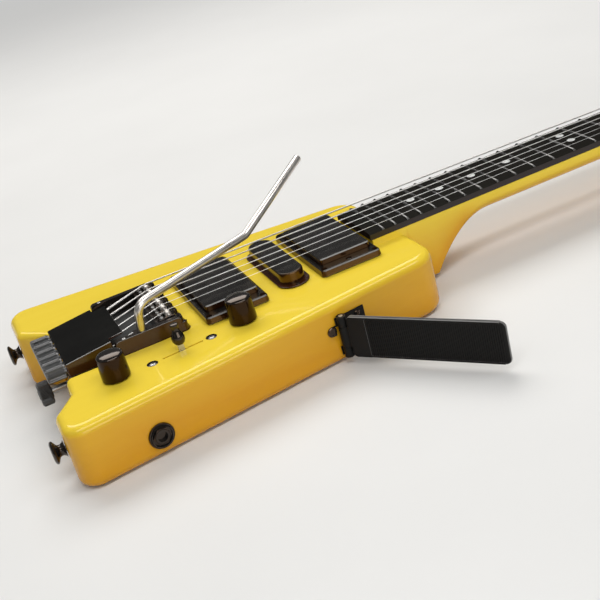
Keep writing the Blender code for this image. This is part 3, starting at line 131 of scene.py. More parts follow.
# A finish goes from dark to light and from Smooth to Rough in patches. Patch and Fine are noise scales
# per metre, Depth is the bump's height, and ior and tint set how strong and how warm its gloss is.
# The warm specular tints below are painted reflection: they warm the gloss of black parts towards the yellow
# body that it mirrors
finishes = {
    "blackenedMetal": {"dark": (0.004, 0.004, 0.004), "light": (0.009, 0.009, 0.009), "Patch": 60.0,
                       "Fine": 9000.0, "Smooth": 0.12, "Rough": 0.22, "Depth": 0.000004,
                       "ior": 1.68, "tint": (1.0, 0.66, 0.46)},
    "powderedMetal": {"dark": (0.004, 0.004, 0.004), "light": (0.008, 0.008, 0.007), "Patch": 45.0,
                      "Fine": 5000.0, "Smooth": 0.15, "Rough": 0.24, "Depth": 0.000005,
                      "ior": 1.15, "tint": (1.0, 0.85, 0.7)},
    "knurledSteel": {"dark": (0.09, 0.09, 0.09), "light": (0.15, 0.15, 0.15), "metallic": 0.9, "Patch": 90.0,
                     "Fine": 9000.0, "Smooth": 0.26, "Rough": 0.42, "Depth": 0.00001},
    "glossBlackPlastic": {"dark": (0.004, 0.004, 0.004), "light": (0.008, 0.008, 0.008), "Patch": 70.0,
                          "Fine": 1500.0, "Smooth": 0.08, "Rough": 0.18, "Depth": 0.000004,
                          "ior": 1.6, "tint": (1.0, 0.80, 0.66)},
    "pickupPlastic": {"dark": (0.006, 0.006, 0.006), "light": (0.012, 0.012, 0.012), "Patch": 55.0,
                      "Fine": 6000.0, "Smooth": 0.15, "Rough": 0.25, "Depth": 0.000006,
                      "ior": 1.38, "tint": (1.0, 0.78, 0.6)},
    "legPlastic": {"dark": (0.003, 0.003, 0.003), "light": (0.006, 0.006, 0.006), "Patch": 50.0,
                   "Fine": 4000.0, "Smooth": 0.36, "Rough": 0.52, "Depth": 0.00003,
                   "ior": 1.3, "tint": (1.0, 0.96, 0.92)},
    # Lighter grey for edges: a painted highlight on the leg's edges and on the chamfers of the frame and
    # rings
    "paintedEdgeHighlight": {"dark": (0.10, 0.10, 0.098), "light": (0.14, 0.138, 0.134), "Patch": 60.0,
                       "Fine": 4000.0, "Smooth": 0.30, "Rough": 0.42, "Depth": 0.00001},
    "polishedChrome": {"dark": (0.66, 0.62, 0.58), "light": (0.80, 0.76, 0.72), "metallic": 1.0,
                       "Patch": 90.0, "Fine": 900.0, "Smooth": 0.27, "Rough": 0.36, "Depth": 0.0000005},
    "brightSteel": {"dark": (0.42, 0.42, 0.42), "light": (0.58, 0.57, 0.56), "metallic": 1.0, "Patch": 120.0,
                    "Fine": 7000.0, "Smooth": 0.24, "Rough": 0.42, "Depth": 0.000015},
    "fretNickel": {"dark": (0.11, 0.11, 0.107), "light": (0.17, 0.167, 0.163), "metallic": 1.0,
                   "Patch": 150.0, "Fine": 9000.0, "Smooth": 0.18, "Rough": 0.34, "Depth": 0.000008},
    "inlayDots": {"dark": (0.56, 0.57, 0.56), "light": (0.72, 0.73, 0.72), "Patch": 400.0,
                  "Fine": 3000.0, "Smooth": 0.20, "Rough": 0.34, "Depth": 0.000008},
    # Reddish-brown with a warm tint: painted reflection of the yellow body on the upright sides of pickups
    # and rings
    "paintedSideReflection": {"dark": (0.014, 0.0045, 0.0018), "light": (0.024, 0.008, 0.003), "Patch": 60.0,
                      "Fine": 3000.0, "Smooth": 0.10, "Rough": 0.20, "Depth": 0.000004,
                      "ior": 1.8, "tint": (1.0, 0.62, 0.30)},
    # Reddish-brown: painted reflection of the yellow body on frame and cover sides, and on the middle
    # pickup's flange also painted shade of the rout round it
    "paintedBrownReflection": {"dark": (0.030, 0.008, 0.003), "light": (0.048, 0.013, 0.005), "Patch": 60.0,
                      "Fine": 3000.0, "Smooth": 0.12, "Rough": 0.22, "Depth": 0.000004},
    # Brown with a warm tint: painted reflection of the yellow body on the knobs' sides
    "paintedKnobReflection": {"dark": (0.007, 0.003, 0.0012), "light": (0.012, 0.005, 0.002), "Patch": 70.0,
                        "Fine": 2500.0, "Smooth": 0.10, "Rough": 0.20, "Depth": 0.000004,
                        "ior": 1.42, "tint": (1.0, 0.62, 0.34)},
    # Lighter grey: painted highlight on the treble chamfers of the pickup and bridge covers
    "paintedChamferHighlight": {"dark": (0.14, 0.14, 0.136), "light": (0.20, 0.20, 0.19), "Patch": 80.0,
                      "Fine": 4000.0, "Smooth": 0.24, "Rough": 0.36, "Depth": 0.000006},
    "wheelGrey": {"dark": (0.050, 0.049, 0.047), "light": (0.075, 0.073, 0.070), "metallic": 0.2,
                  "Patch": 90.0, "Fine": 6000.0, "Smooth": 0.30, "Rough": 0.44, "Depth": 0.00001},
    "shieldingPaint": {"dark": (0.010, 0.010, 0.010), "light": (0.020, 0.020, 0.019), "Patch": 80.0,
                       "Fine": 2500.0, "Smooth": 0.62, "Rough": 0.80, "Depth": 0.00006},
    "ebonyEdge": {"dark": (0.006, 0.002, 0.001), "light": (0.016, 0.006, 0.004), "Patch": 120.0,
                  "Fine": 4000.0, "Smooth": 0.30, "Rough": 0.46, "Depth": 0.00002},
}


def finishOf(name, dark, light, metallic=0.0, ior=None, tint=None, **values):
    made, tree, shader = look(name)
    group = useHandled(tree, shader, **values)
    tree.links.new(colourMix(tree, group.outputs["Wear"], dark, light), shader.inputs["Base Color"])
    shader.inputs["Metallic"].default_value = metallic
    if ior:
        shader.inputs["IOR"].default_value = ior
        shader.inputs["Specular Tint"].default_value = (*tint, 1.0)
    made.diffuse_color = (*light, 1.0)
    return made


finish = {name: finishOf(name, **values) for name, values in finishes.items()}

# The side colours are painted shade: the yellow made darker and more orange on faces that turn away from the
# light
lacquer = {"light": (0.84, 0.63, 0.055), "deep": (0.80, 0.58, 0.042), "paintedShadeSideLight": (0.70, 0.34, 0.012),
           "paintedShadeSideDeep": (0.62, 0.28, 0.009), "grain": (9.0, 90.0, 90.0),
           "surface": {"Patch": 14.0, "Fine": 170.0, "Smooth": 0.30, "Rough": 0.42, "Depth": 0.00002},
           "coatRoughness": 0.07, "coatIor": 1.38, "peelScale": 110.0, "peelDepth": 0.00003,
           "peelStrength": 0.25}


# Clear coat over stained wood: faint figure along the grain, and painted shade, a darker and more orange
# colour where the surface turns down
def lacquerLook():
    made, tree, shader = look("yellowLacquer")
    join = tree.links.new
    place = tree.nodes.new("ShaderNodeTexCoord")
    grain = tree.nodes.new("ShaderNodeMapping")
    grain.inputs["Scale"].default_value = lacquer["grain"]
    figure = addNode(tree, "ShaderNodeTexNoise", Scale=1.0, Detail=5.0, Roughness=0.6, Distortion=0.8)
    # The attribute read here is the painted side shade, from 0 on the flat face to 1 down the sides
    tone = addNode(tree, "ShaderNodeAttribute", attribute_name="paintedSideShade")
    join(place.outputs["Object"], grain.inputs["Vector"])
    join(grain.outputs["Vector"], figure.inputs["Vector"])
    onTop = colourMix(tree, figure.outputs["Fac"], lacquer["light"], lacquer["deep"])
    shadedSide = colourMix(tree, figure.outputs["Fac"], lacquer["paintedShadeSideLight"], lacquer["paintedShadeSideDeep"])
    join(colourMix(tree, tone.outputs["Fac"], onTop, shadedSide), shader.inputs["Base Color"])
    useHandled(tree, shader, **lacquer["surface"])
    peel = addNode(tree, "ShaderNodeBump", Strength=lacquer["peelStrength"], Distance=lacquer["peelDepth"])
    waves = addNode(tree, "ShaderNodeTexNoise", Scale=lacquer["peelScale"], Detail=1.0)
    join(place.outputs["Object"], waves.inputs["Vector"])
    join(waves.outputs["Fac"], peel.inputs["Height"])
    join(peel.outputs["Normal"], shader.inputs["Coat Normal"])
    shader.inputs["Coat Weight"].default_value = 1.0
    shader.inputs["Coat Roughness"].default_value = lacquer["coatRoughness"]
    shader.inputs["Coat IOR"].default_value = lacquer["coatIor"]
    shader.inputs["Specular IOR Level"].default_value = 0.0
    return made


finish["yellowLacquer"] = lacquerLook()

ebony = {"dark": (0.003, 0.003, 0.0025), "light": (0.020, 0.018, 0.015), "grain": (12.0, 420.0, 420.0),
         "smooth": 0.36, "rough": 0.62, "poreDepth": 0.00004, "poreStrength": 0.6, "ior": 1.06}


def ebonyLook():
    made, tree, shader = look("ebonyBoard")
    join = tree.links.new
    place = tree.nodes.new("ShaderNodeTexCoord")
    grain = tree.nodes.new("ShaderNodeMapping")
    grain.inputs["Scale"].default_value = ebony["grain"]
    streaks = addNode(tree, "ShaderNodeTexNoise", Scale=1.0, Detail=6.0, Roughness=0.65, Distortion=0.4)
    pores = addNode(tree, "ShaderNodeTexNoise", Scale=3.0, Detail=3.0, Roughness=0.7)
    join(place.outputs["Object"], grain.inputs["Vector"])
    join(grain.outputs["Vector"], streaks.inputs["Vector"])
    join(grain.outputs["Vector"], pores.inputs["Vector"])
    join(colourMix(tree, streaks.outputs["Fac"], ebony["dark"], ebony["light"]), shader.inputs["Base Color"])
    spread = tree.nodes.new("ShaderNodeMapRange")
    spread.inputs["To Min"].default_value = ebony["smooth"]
    spread.inputs["To Max"].default_value = ebony["rough"]
    bump = addNode(tree, "ShaderNodeBump", Strength=ebony["poreStrength"], Distance=ebony["poreDepth"])
    join(streaks.outputs["Fac"], spread.inputs["Value"])
    join(spread.outputs["Result"], shader.inputs["Roughness"])
    join(pores.outputs["Fac"], bump.inputs["Height"])
    join(bump.outputs["Normal"], shader.inputs["Normal"])
    shader.inputs["IOR"].default_value = ebony["ior"]
    return made


finish["ebonyBoard"] = ebonyLook()

wires = {"plainSteelWire": {"light": (0.92, 0.91, 0.89), "dark": (0.78, 0.77, 0.76), "turns": 40.0},
         "nickelWoundWire": {"light": (0.88, 0.86, 0.83), "dark": (0.70, 0.68, 0.66), "turns": 2600.0}}
winding = {"strength": 0.8, "depth": 0.00004,
           "surface": {"Patch": 30.0, "Fine": 9000.0, "Smooth": 0.32, "Rough": 0.48, "Depth": 0.000003}}


# String wire with its winding as a bump; turns are per metre, read along the string
def stringLook(name, light, dark, turns):
    made, tree, shader = look(name)
    join = tree.links.new
    along = addNode(tree, "ShaderNodeAttribute", attribute_name="along")
    wave = addNode(tree, "ShaderNodeMath", operation="MULTIPLY")
    wave.inputs[1].default_value = turns * 2 * math.pi
    ripple = addNode(tree, "ShaderNodeMath", operation="SINE")
    bump = addNode(tree, "ShaderNodeBump", Strength=winding["strength"], Distance=winding["depth"])
    group = useHandled(tree, shader, **winding["surface"])
    join(along.outputs["Fac"], wave.inputs[0])
    join(wave.outputs["Value"], ripple.inputs[0])
    join(ripple.outputs["Value"], bump.inputs["Height"])
    join(group.outputs["Normal"], bump.inputs["Normal"])
    join(bump.outputs["Normal"], shader.inputs["Normal"])
    join(colourMix(tree, group.outputs["Wear"], dark, light), shader.inputs["Base Color"])
    shader.inputs["Metallic"].default_value = 1.0
    return made


for name, values in wires.items():
    finish[name] = stringLook(name, **values)
print("materials made")


def linked(name, mesh):
    piece = bpy.data.objects.new(name, mesh)
    scene.collection.objects.link(piece)
    return piece


def builtMesh(name, build):
    bm = bmesh.new()
    build(bm)
    bmesh.ops.remove_doubles(bm, verts=bm.verts, dist=0.000002)
    bmesh.ops.recalc_face_normals(bm, faces=bm.faces)
    mesh = bpy.data.meshes.new(name)
    bm.to_mesh(mesh)
    bm.free()
    return mesh


# Bake the modifiers of a piece into its mesh
def applied(piece):
    bpy.context.view_layer.update()
    shown = piece.evaluated_get(bpy.context.evaluated_depsgraph_get())
    mesh = bpy.data.meshes.new_from_object(shown)
    piece.modifiers.clear()
    old = piece.data
    piece.data = mesh
    bpy.data.meshes.remove(old)
    return piece


def gone(*pieces):
    for piece in pieces:
        mesh = piece.data
        bpy.data.objects.remove(piece, do_unlink=True)
        if mesh.users == 0:
            bpy.data.meshes.remove(mesh)


# Boolean of a piece with others, which are used up
def combined(piece, operation, others):
    for other in others:
        step = piece.modifiers.new("combine", "BOOLEAN")
        step.operation = operation
        step.solver = "EXACT"
        step.object = other
    applied(piece)
    gone(*others)
    return piece


def cutBy(piece, *cutters):
    return combined(piece, "DIFFERENCE", cutters)


def joinedTo(piece, *others):
    return combined(piece, "UNION", others)


def bevelled(piece, width, segments=3, degrees=40):
    step = piece.modifiers.new("edge", "BEVEL")
    step.width = width
    step.segments = segments
    step.limit_method = "ANGLE"
    step.angle_limit = math.radians(degrees)
    return applied(piece)


# Smooth shading up to an angle; weighted normals keep flat faces flat
def shaded(piece, degrees=35, weighted=True):
    piece.data.shade_smooth()
    piece.data.set_sharp_from_angle(angle=math.radians(degrees))
    if weighted:
        step = piece.modifiers.new("normals", "WEIGHTED_NORMAL")
        step.keep_sharp = True
        step.weight = 80
        applied(piece)
    return piece


# Several pieces as one mesh, without a boolean
def merged(name, pieces):
    bm = bmesh.new()
    slots = []
    for piece in pieces:
        first = len(bm.faces)
        bm.from_mesh(piece.data)
        bm.faces.ensure_lookup_table()
        own = list(piece.data.materials)
        for face in bm.faces[first:]:
            made = own[face.material_index]
            if made not in slots:
                slots.append(made)
            face.material_index = slots.index(made)
    mesh = bpy.data.meshes.new(name)
    bm.to_mesh(mesh)
    bm.free()
    for made in slots:
        mesh.materials.append(made)
    gone(*pieces)
    return linked(name, mesh)


def clothed(piece, made):
    piece.data.materials.clear()
    piece.data.materials.append(made)
    return piece


# Further finishes after the first; the rule gives each face its number, 0 for the first finish
def facesIn(piece, others, rule):
    for made in others:
        piece.data.materials.append(made)
    for face in piece.data.polygons:
        face.material_index = rule(face)
    return piece


# Upright faces take one finish, a painted reflection of the yellow body in every use, and the chamfer on the
# treble side another, a painted highlight on the rings and the humbucker and bridge covers
def sidesIn(piece, sideReflectionLook, edgeLook=None):
    def rule(face):
        if abs(face.normal.z) < 0.4:
            return 1
        return 2 if face.normal.z < 0.9 and face.normal.y < -0.4 else 0

    return facesIn(piece, (sideReflectionLook, edgeLook or sideReflectionLook), rule)


# The body that a finished piece moves with, its slot, which is not used, and the CAD nodes that it stands for
def fitted(piece, bodyName, slotName, *nodes):
    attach(piece, bodyName)
    if nodes:
        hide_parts(*nodes)
    return piece


# Each (x, y, radius) corner of an outline becomes an arc
def arcCorners(corners, segments=8):
    outline = []
    for index, (x, y, radius) in enumerate(corners):
        here = Vector((x, y))
        back = (Vector(corners[index - 1][:2]) - here).normalized()
        ahead = (Vector(corners[(index + 1) % len(corners)][:2]) - here).normalized()
        if radius == 0:
            outline.append((x, y))
            continue
        half = back.angle(ahead) / 2
        centre = here + (back + ahead).normalized() * radius / math.sin(half)
        first = here + back * radius / math.tan(half) - centre
        last = here + ahead * radius / math.tan(half) - centre
        sweep = first.angle_signed(last)
        for step in range(segments + 1):
            point = centre + Matrix.Rotation(-sweep * step / segments, 2) @ first
            outline.append((point.x, point.y))
    return outline


def roundRectangle(x, y, length, width, corner, segments=6):
    a, b = length / 2, width / 2
    return arcCorners([(x - a, y - b, corner), (x + a, y - b, corner),
                       (x + a, y + b, corner), (x - a, y + b, corner)], segments)


def hexagonOf(reach):
    angles = [math.radians(60 * i) for i in range(6)]
    return [(reach * math.cos(angle), reach * math.sin(angle)) for angle in angles]


# A closed block from an outline: (x, y) along Z, (x, z) along Y
def prism(name, outline, low, high, axis="Z"):
    def at(point, level):
        return (point[0], point[1], level) if axis == "Z" else (point[0], level, point[1])

    def build(bm):
        under = [bm.verts.new(at(point, low)) for point in outline]
        over = [bm.verts.new(at(point, high)) for point in outline]
        bm.faces.new(under)
        bm.faces.new(over)
        count = len(outline)
        for i in range(count):
            j = (i + 1) % count
            bm.faces.new((under[i], under[j], over[j], over[i]))

    return linked(name, builtMesh(name, build))


def block(name, low, high):
    return prism(name, [(low[0], low[1]), (high[0], low[1]), (high[0], high[1]), (low[0], high[1])],
                 low[2], high[2])


# Walls between rings of as many vertices each, closed by the first and the last ring
def skin(bm, rings):
    count = len(rings[0])
    for near, far in zip(rings, rings[1:]):
        for i in range(count):
            j = (i + 1) % count
            bm.faces.new((near[i], near[j], far[j], far[i]))
    bm.faces.new(rings[0][::-1])
    bm.faces.new(rings[-1])


# The turn that takes +Z to a direction
def aim(direction):
    return Vector((0, 0, 1)).rotation_difference(Vector(direction).normalized()).to_matrix().to_4x4()


def standing(place, direction):
    return Matrix.Translation(Vector(place)) @ aim(direction)


# A (radius, height) profile turned round a direction
def lathe(name, profile, base, direction, sides=48):
    place = standing(base, direction)

    def build(bm):
        rings = []
        for radius, height in profile:
            if radius < 0.000001:
                rings.append([bm.verts.new(place @ Vector((0, 0, height)))])
                continue
            ring = []
            for side in range(sides):
                angle = 2 * math.pi * side / sides
                point = Vector((radius * math.cos(angle), radius * math.sin(angle), height))
                ring.append(bm.verts.new(place @ point))
            rings.append(ring)
        for near, far in zip(rings, rings[1:]):
            for side in range(sides):
                other = (side + 1) % sides
                if len(near) == 1 and len(far) == 1:
                    continue
                if len(near) == 1:
                    bm.faces.new((near[0], far[side], far[other]))
                elif len(far) == 1:
                    bm.faces.new((near[side], far[0], near[other]))
                else:
                    bm.faces.new((near[side], far[side], far[other], near[other]))
        for ring, flip in ((rings[0], True), (rings[-1], False)):
            if len(ring) > 1:
                bm.faces.new(ring[::-1] if flip else ring)

    return linked(name, builtMesh(name, build))


def rod(name, start, end, radius, sides=32):
    start, end = Vector(start), Vector(end)
    length = (end - start).length
    return lathe(name, [(0, 0), (radius, 0), (radius, length), (0, length)], start, end - start, sides)


# A tube along points that keeps its distance run in the attribute along
def pipe(name, points, radii, sides):
    points = [Vector(point) for point in points]
    runs = [0.0]
    for before, after in zip(points, points[1:]):
        runs.append(runs[-1] + (after - before).length)
    bm = bmesh.new()
    layer = bm.verts.layers.float.new("along")
    across = None
    rings = []
    for index, point in enumerate(points):
        before = points[max(index - 1, 0)]
        after = points[min(index + 1, len(points) - 1)]
        ahead = (after - before).normalized()
        if across is None:
            guide = Vector((0, 0, 1)) if abs(ahead.z) < 0.9 else Vector((1, 0, 0))
            across = ahead.cross(guide).normalized()
        else:
            across = (across - ahead * across.dot(ahead)).normalized()
        other = ahead.cross(across)
        ring = []
        for side in range(sides):
            angle = 2 * math.pi * side / sides
            vert = bm.verts.new(point + radii[index] * (math.cos(angle) * across + math.sin(angle) * other))
            vert[layer] = runs[index]
            ring.append(vert)
        rings.append(ring)
    skin(bm, rings)
    bmesh.ops.recalc_face_normals(bm, faces=bm.faces)
    mesh = bpy.data.meshes.new(name)
    bm.to_mesh(mesh)
    bm.free()
    return shaded(linked(name, mesh), 50, False)


# The start of a repeat tree: instances of one object, realized, with a material
def repeatTree(name, extra):
    tree = bpy.data.node_groups.new(name, "GeometryNodeTree")
    make = tree.interface.new_socket
    make(name="Geometry", in_out="OUTPUT", socket_type="NodeSocketGeometry")
    make(name="Piece", in_out="INPUT", socket_type="NodeSocketObject")
    make(name="Look", in_out="INPUT", socket_type="NodeSocketMaterial")
    make(name="Count", in_out="INPUT", socket_type="NodeSocketInt")
    for label in extra:
        make(name=label, in_out="INPUT", socket_type=number)
    given = tree.nodes.new("NodeGroupInput")
    out = tree.nodes.new("NodeGroupOutput")
    source = tree.nodes.new("GeometryNodeObjectInfo")
    spread = tree.nodes.new("GeometryNodeInstanceOnPoints")
    real = tree.nodes.new("GeometryNodeRealizeInstances")
    paint = tree.nodes.new("GeometryNodeSetMaterial")
    join = tree.links.new
    join(given.outputs["Piece"], source.inputs["Object"])
    join(source.outputs["Geometry"], spread.inputs["Instance"])
    join(spread.outputs["Instances"], real.inputs["Geometry"])
    join(real.outputs["Geometry"], paint.inputs["Geometry"])
    join(given.outputs["Look"], paint.inputs["Material"])
    join(paint.outputs["Geometry"], out.inputs["Geometry"])
    return tree, given, spread


def mathIn(tree, operation, first, second):
    node = addNode(tree, "ShaderNodeMath", operation=operation)
    for index, value in enumerate((first, second)):
        if isinstance(value, (int, float)):
            node.inputs[index].default_value = value
        else:
            tree.links.new(value, node.inputs[index])
    return node.outputs["Value"]


# Copies round a circle in the XY plane, each turned to face outward
def ringTree():
    tree, given, spread = repeatTree("ringOfCopies", ["Radius", "Turn"])
    points = tree.nodes.new("GeometryNodeMeshCircle")
    turn = tree.nodes.new("ShaderNodeCombineXYZ")
    index = tree.nodes.new("GeometryNodeInputIndex")
    join = tree.links.new
    join(given.outputs["Count"], points.inputs["Vertices"])
    join(given.outputs["Radius"], points.inputs["Radius"])
    step = mathIn(tree, "MULTIPLY", index.outputs["Index"], 2 * math.pi)
    join(mathIn(tree, "ADD", mathIn(tree, "DIVIDE", step, given.outputs["Count"]),
                given.outputs["Turn"]), turn.inputs["Z"])
    join(points.outputs["Mesh"], spread.inputs["Points"])
    join(turn.outputs["Vector"], spread.inputs["Rotation"])
    return tree


# Copies along a straight row with a constant step
def rowTree():
    tree, given, spread = repeatTree("rowOfCopies", ["Step X", "Step Y", "Step Z"])
    points = tree.nodes.new("GeometryNodeMeshLine")
    step = tree.nodes.new("ShaderNodeCombineXYZ")
    join = tree.links.new
    join(given.outputs["Count"], points.inputs["Count"])
    for letter in "XYZ":
        join(given.outputs["Step " + letter], step.inputs[letter])
    join(step.outputs["Vector"], points.inputs["Offset"])
    join(points.outputs["Mesh"], spread.inputs["Points"])
    return tree


# Copies at the places of an equal-tempered scale, widened to a tapering board
def scaleTree():
    tree, given, spread = repeatTree("frettedScale", ["Scale", "Half", "Taper"])
    points = tree.nodes.new("GeometryNodePoints")
    place = tree.nodes.new("ShaderNodeCombineXYZ")
    size = tree.nodes.new("ShaderNodeCombineXYZ")
    index = tree.nodes.new("GeometryNodeInputIndex")
    join = tree.links.new
    share = mathIn(tree, "DIVIDE", mathIn(tree, "ADD", index.outputs["Index"], 1.0), -12.0)
    along = mathIn(tree, "MULTIPLY", mathIn(tree, "POWER", 2.0, share), given.outputs["Scale"])
    join(along, place.inputs["X"])
    half = mathIn(tree, "ADD", given.outputs["Half"], mathIn(tree, "MULTIPLY", along, given.outputs["Taper"]))
    size.inputs["X"].default_value = 1.0
    size.inputs["Z"].default_value = 1.0
    join(half, size.inputs["Y"])
    join(given.outputs["Count"], points.inputs["Count"])
    join(place.outputs["Vector"], points.inputs["Position"])
    join(points.outputs["Points"], spread.inputs["Points"])
    join(size.outputs["Vector"], spread.inputs["Scale"])
    return tree


ringCopies = ringTree()
rowCopies = rowTree()
scaleCopies = scaleTree()


# The plain mesh object that a repeat tree makes of one unit piece
def grown(name, tree, unit, made, values, place=None):
    host = linked(name + "Host", bpy.data.meshes.new(name + "Host"))
    step = host.modifiers.new("repeat", "NODES")
    step.node_group = tree
    given = {"Piece": unit, "Look": made, **values}
    for item in tree.interface.items_tree:
        if item.in_out == "INPUT":
            step[item.identifier] = given[item.name]
    applied(host)
    gone(unit)
    if place is not None:
        host.data.transform(place)
    host.name = host.data.name = name
    return host


print("helpers ready")


view = {"place": (-0.107489, -0.686147, 0.356178), "yaw": 73.317, "pitch": 25.566, "roll": -15.15,
        "focal": 1107.3, "frameWidth": 600, "sensor": 36.0}  # degrees; focal length in pixels of that width


def setCamera():
    yaw, pitch, roll = (math.radians(view[key]) for key in ("yaw", "pitch", "roll"))
    ahead = Vector((math.cos(pitch) * math.cos(yaw), math.cos(pitch) * math.sin(yaw), -math.sin(pitch)))
    level = ahead.cross(Vector((0, 0, 1))).normalized()
    upward = level.cross(ahead)
    right = math.cos(roll) * level + math.sin(roll) * upward
    up = -math.sin(roll) * level + math.cos(roll) * upward
    turn = Matrix((right, up, -ahead)).transposed().to_4x4()
    lens = bpy.data.cameras.new("photoCamera")
    lens.sensor_width = view["sensor"]
    lens.lens = view["focal"] / view["frameWidth"] * view["sensor"]
    lens.clip_start = 0.02
    lens.clip_end = 20.0
    camera = bpy.data.objects.new("photoCamera", lens)
    camera.matrix_world = Matrix.Translation(view["place"]) @ turn
    scene.collection.objects.link(camera)
    scene.camera = camera
    scene.view_settings.view_transform = "Standard"


setCamera()

ground = {"x": 0.2, "size": 7.0, "corner": 0.5, "low": -0.016, "high": -0.0006, "dark": (0.70, 0.70, 0.69),
          "light": (0.76, 0.76, 0.75), "roughness": 0.85, "fadeFrom": 0.5, "fadeTo": 3.0, "glow": 0.62}


# A pale sheet that brightens with distance, for the camera only
def setFloor():
    made, tree, shader = look("paleFloor")
    place = tree.nodes.new("ShaderNodeTexCoord")
    cloud = addNode(tree, "ShaderNodeTexNoise", Scale=6.0, Detail=4.0)
    tree.links.new(place.outputs["Object"], cloud.inputs["Vector"])
    tree.links.new(colourMix(tree, cloud.outputs["Fac"], ground["dark"], ground["light"]),
                   shader.inputs["Base Color"])
    shader.inputs["Roughness"].default_value = ground["roughness"]
    reach = addNode(tree, "ShaderNodeVectorMath", operation="LENGTH")
    fade = tree.nodes.new("ShaderNodeMapRange")
    fade.inputs["From Min"].default_value = ground["fadeFrom"]
    fade.inputs["From Max"].default_value = ground["fadeTo"]
    fade.inputs["To Max"].default_value = ground["glow"]
    ray = tree.nodes.new("ShaderNodeLightPath")
    tree.links.new(place.outputs["Object"], reach.inputs[0])
    tree.links.new(reach.outputs["Value"], fade.inputs["Value"])
    glow = mathIn(tree, "MULTIPLY", fade.outputs["Result"], ray.outputs["Is Camera Ray"])
    shader.inputs["Emission Color"].default_value = (1.0, 1.0, 0.99, 1.0)
    tree.links.new(glow, shader.inputs["Emission Strength"])
    outline = roundRectangle(ground["x"], 0.0, ground["size"], ground["size"], ground["corner"])
    clothed(prism("floor", outline, ground["low"], ground["high"]), made)


setFloor()

lamps = {
    "keySoftbox": {"place": (0.16, 0.83, 1.22), "target": (0.1, 0.0, 0.0), "size": (1.6, 0.8),
                   "power": 17.5, "tint": (1.0, 0.98, 0.95)},
    "sideSoftbox": {"place": (0.2, -1.5, 0.55), "target": (0.1, 0.0, 0.02), "size": (1.2, 0.5),
                    "power": 6.5, "tint": (1.0, 0.99, 0.97)},
    "stripSoftbox": {"place": (0.15, -0.60, 1.17), "target": (0.08, -0.02, 0.02), "size": (1.8, 0.34),
                     "power": 10.0, "tint": (1.0, 1.0, 1.0)},
    "tailSoftbox": {"place": (-1.3, -0.2, 0.8), "target": (0.0, 0.0, 0.02), "size": (1.3, 1.0),
                    "power": 0.7, "tint": (0.97, 0.98, 1.0)},
}
sky = {"colour": (0.80, 0.80, 0.80, 1.0), "strength": 0.16, "seenStrength": 0.9}


def setLight(name, place, target, size, power, tint):
    lamp = bpy.data.lights.new(name, "AREA")
    lamp.shape = "RECTANGLE"
    lamp.size, lamp.size_y = size
    lamp.energy = power
    lamp.color = tint
    holder = bpy.data.objects.new(name, lamp)
    holder.location = place
    holder.rotation_euler = (Vector(target) - Vector(place)).to_track_quat("-Z", "Y").to_euler()
    scene.collection.objects.link(holder)


# The camera sees a brighter sky than the one that lights the object
def setSky():
    world = bpy.data.worlds.new("studio")
    world.use_nodes = True
    scene.world = world
    tree = world.node_tree
    choice = tree.nodes.new("ShaderNodeMixShader")
    ray = tree.nodes.new("ShaderNodeLightPath")
    tree.links.new(ray.outputs["Is Camera Ray"], choice.inputs["Fac"])
    for index, node, strength in ((1, tree.nodes["Background"], sky["strength"]),
                                  (2, tree.nodes.new("ShaderNodeBackground"), sky["seenStrength"])):
        node.inputs["Color"].default_value = sky["colour"]
        node.inputs["Strength"].default_value = strength
        tree.links.new(node.outputs["Background"], choice.inputs[index])
    tree.links.new(choice.outputs["Shader"], tree.nodes["World Output"].inputs["Surface"])


for name, values in lamps.items():
    setLight(name, **values)
setSky()
print("stage set")


scale = 0.648  # from the saddles' middle to the nut
# body and neck also hold the depths over which the painted side shade comes in
body = {"tail": -0.0935, "front": 0.179, "half": 0.0945, "taper": 0.135,
        "tailCorner": 0.013, "frontCorner": 0.019, "bassTailCorner": 0.0139,
        "notchEnds": (0.061, -0.0755), "notchEndCorner": 0.008,
        "notchFloor": [(-0.0735, 0.041, 0), (-0.079, -0.057, 0.005)],
        "rim": 0.0062, "tailRim": 0.0034, "tailZone": -0.06, "rimFrom": 0.045, "rimBlend": 0.024,
        "rimSteps": 8, "paintedShadeDrop": 0.009}
pocket = {"half": 0.0382, "floor": 0.0075, "step": -0.006, "front": 0.0108, "corner": 0.0048, "ledge": 0.009,
          "mouthRound": 0.0042, "mouths": ((1, -0.0737), (-1, -0.0779)), "tail": -0.12}
cavity = {"tail": -0.066, "front": 0.058, "inner": -0.044, "wall": 0.011, "corner": 0.006, "roof": 0.005,
          "recess": 0.0023, "ledge": 0.0043}
neck = {"start": 0.15085, "startHalf": 0.0278, "endHalf": 0.021, "inset": 0.0003, "overlap": 0.005,
        "thick": 0.012, "heelSide": 0.0338, "heelFront": 0.198, "heelRun": 0.052,
        "paintedShadeFrom": 0.1795, "paintedShadeLift": 0.004, "paintedShadeDrop": 0.012, "paintedShadeMost": 0.85,
        "plain": [0.1520, 0.179, 0.190, 0.198], "far": [0.3, 0.4, 0.52, scale]}
bridgePickup, neckPickup, middlePickup = 0.0425, 0.1275, 0.0882  # their middles along x
rout = {"plan": (0.0401, 0.07185, 0.002), "middlePlan": (0.020, 0.075, 0.009), "deep": 0.0175}
volumePlace, tonePlace, potBore = (-0.0485, -0.0625), (0.041, -0.056), 0.0048
truss = {"start": 0.2, "end": 0.64, "half": 0.0032, "deep": 0.0064}
post = {"x": 0.004, "y": 0.0328, "bore": 0.0023, "deep": 0.0203}
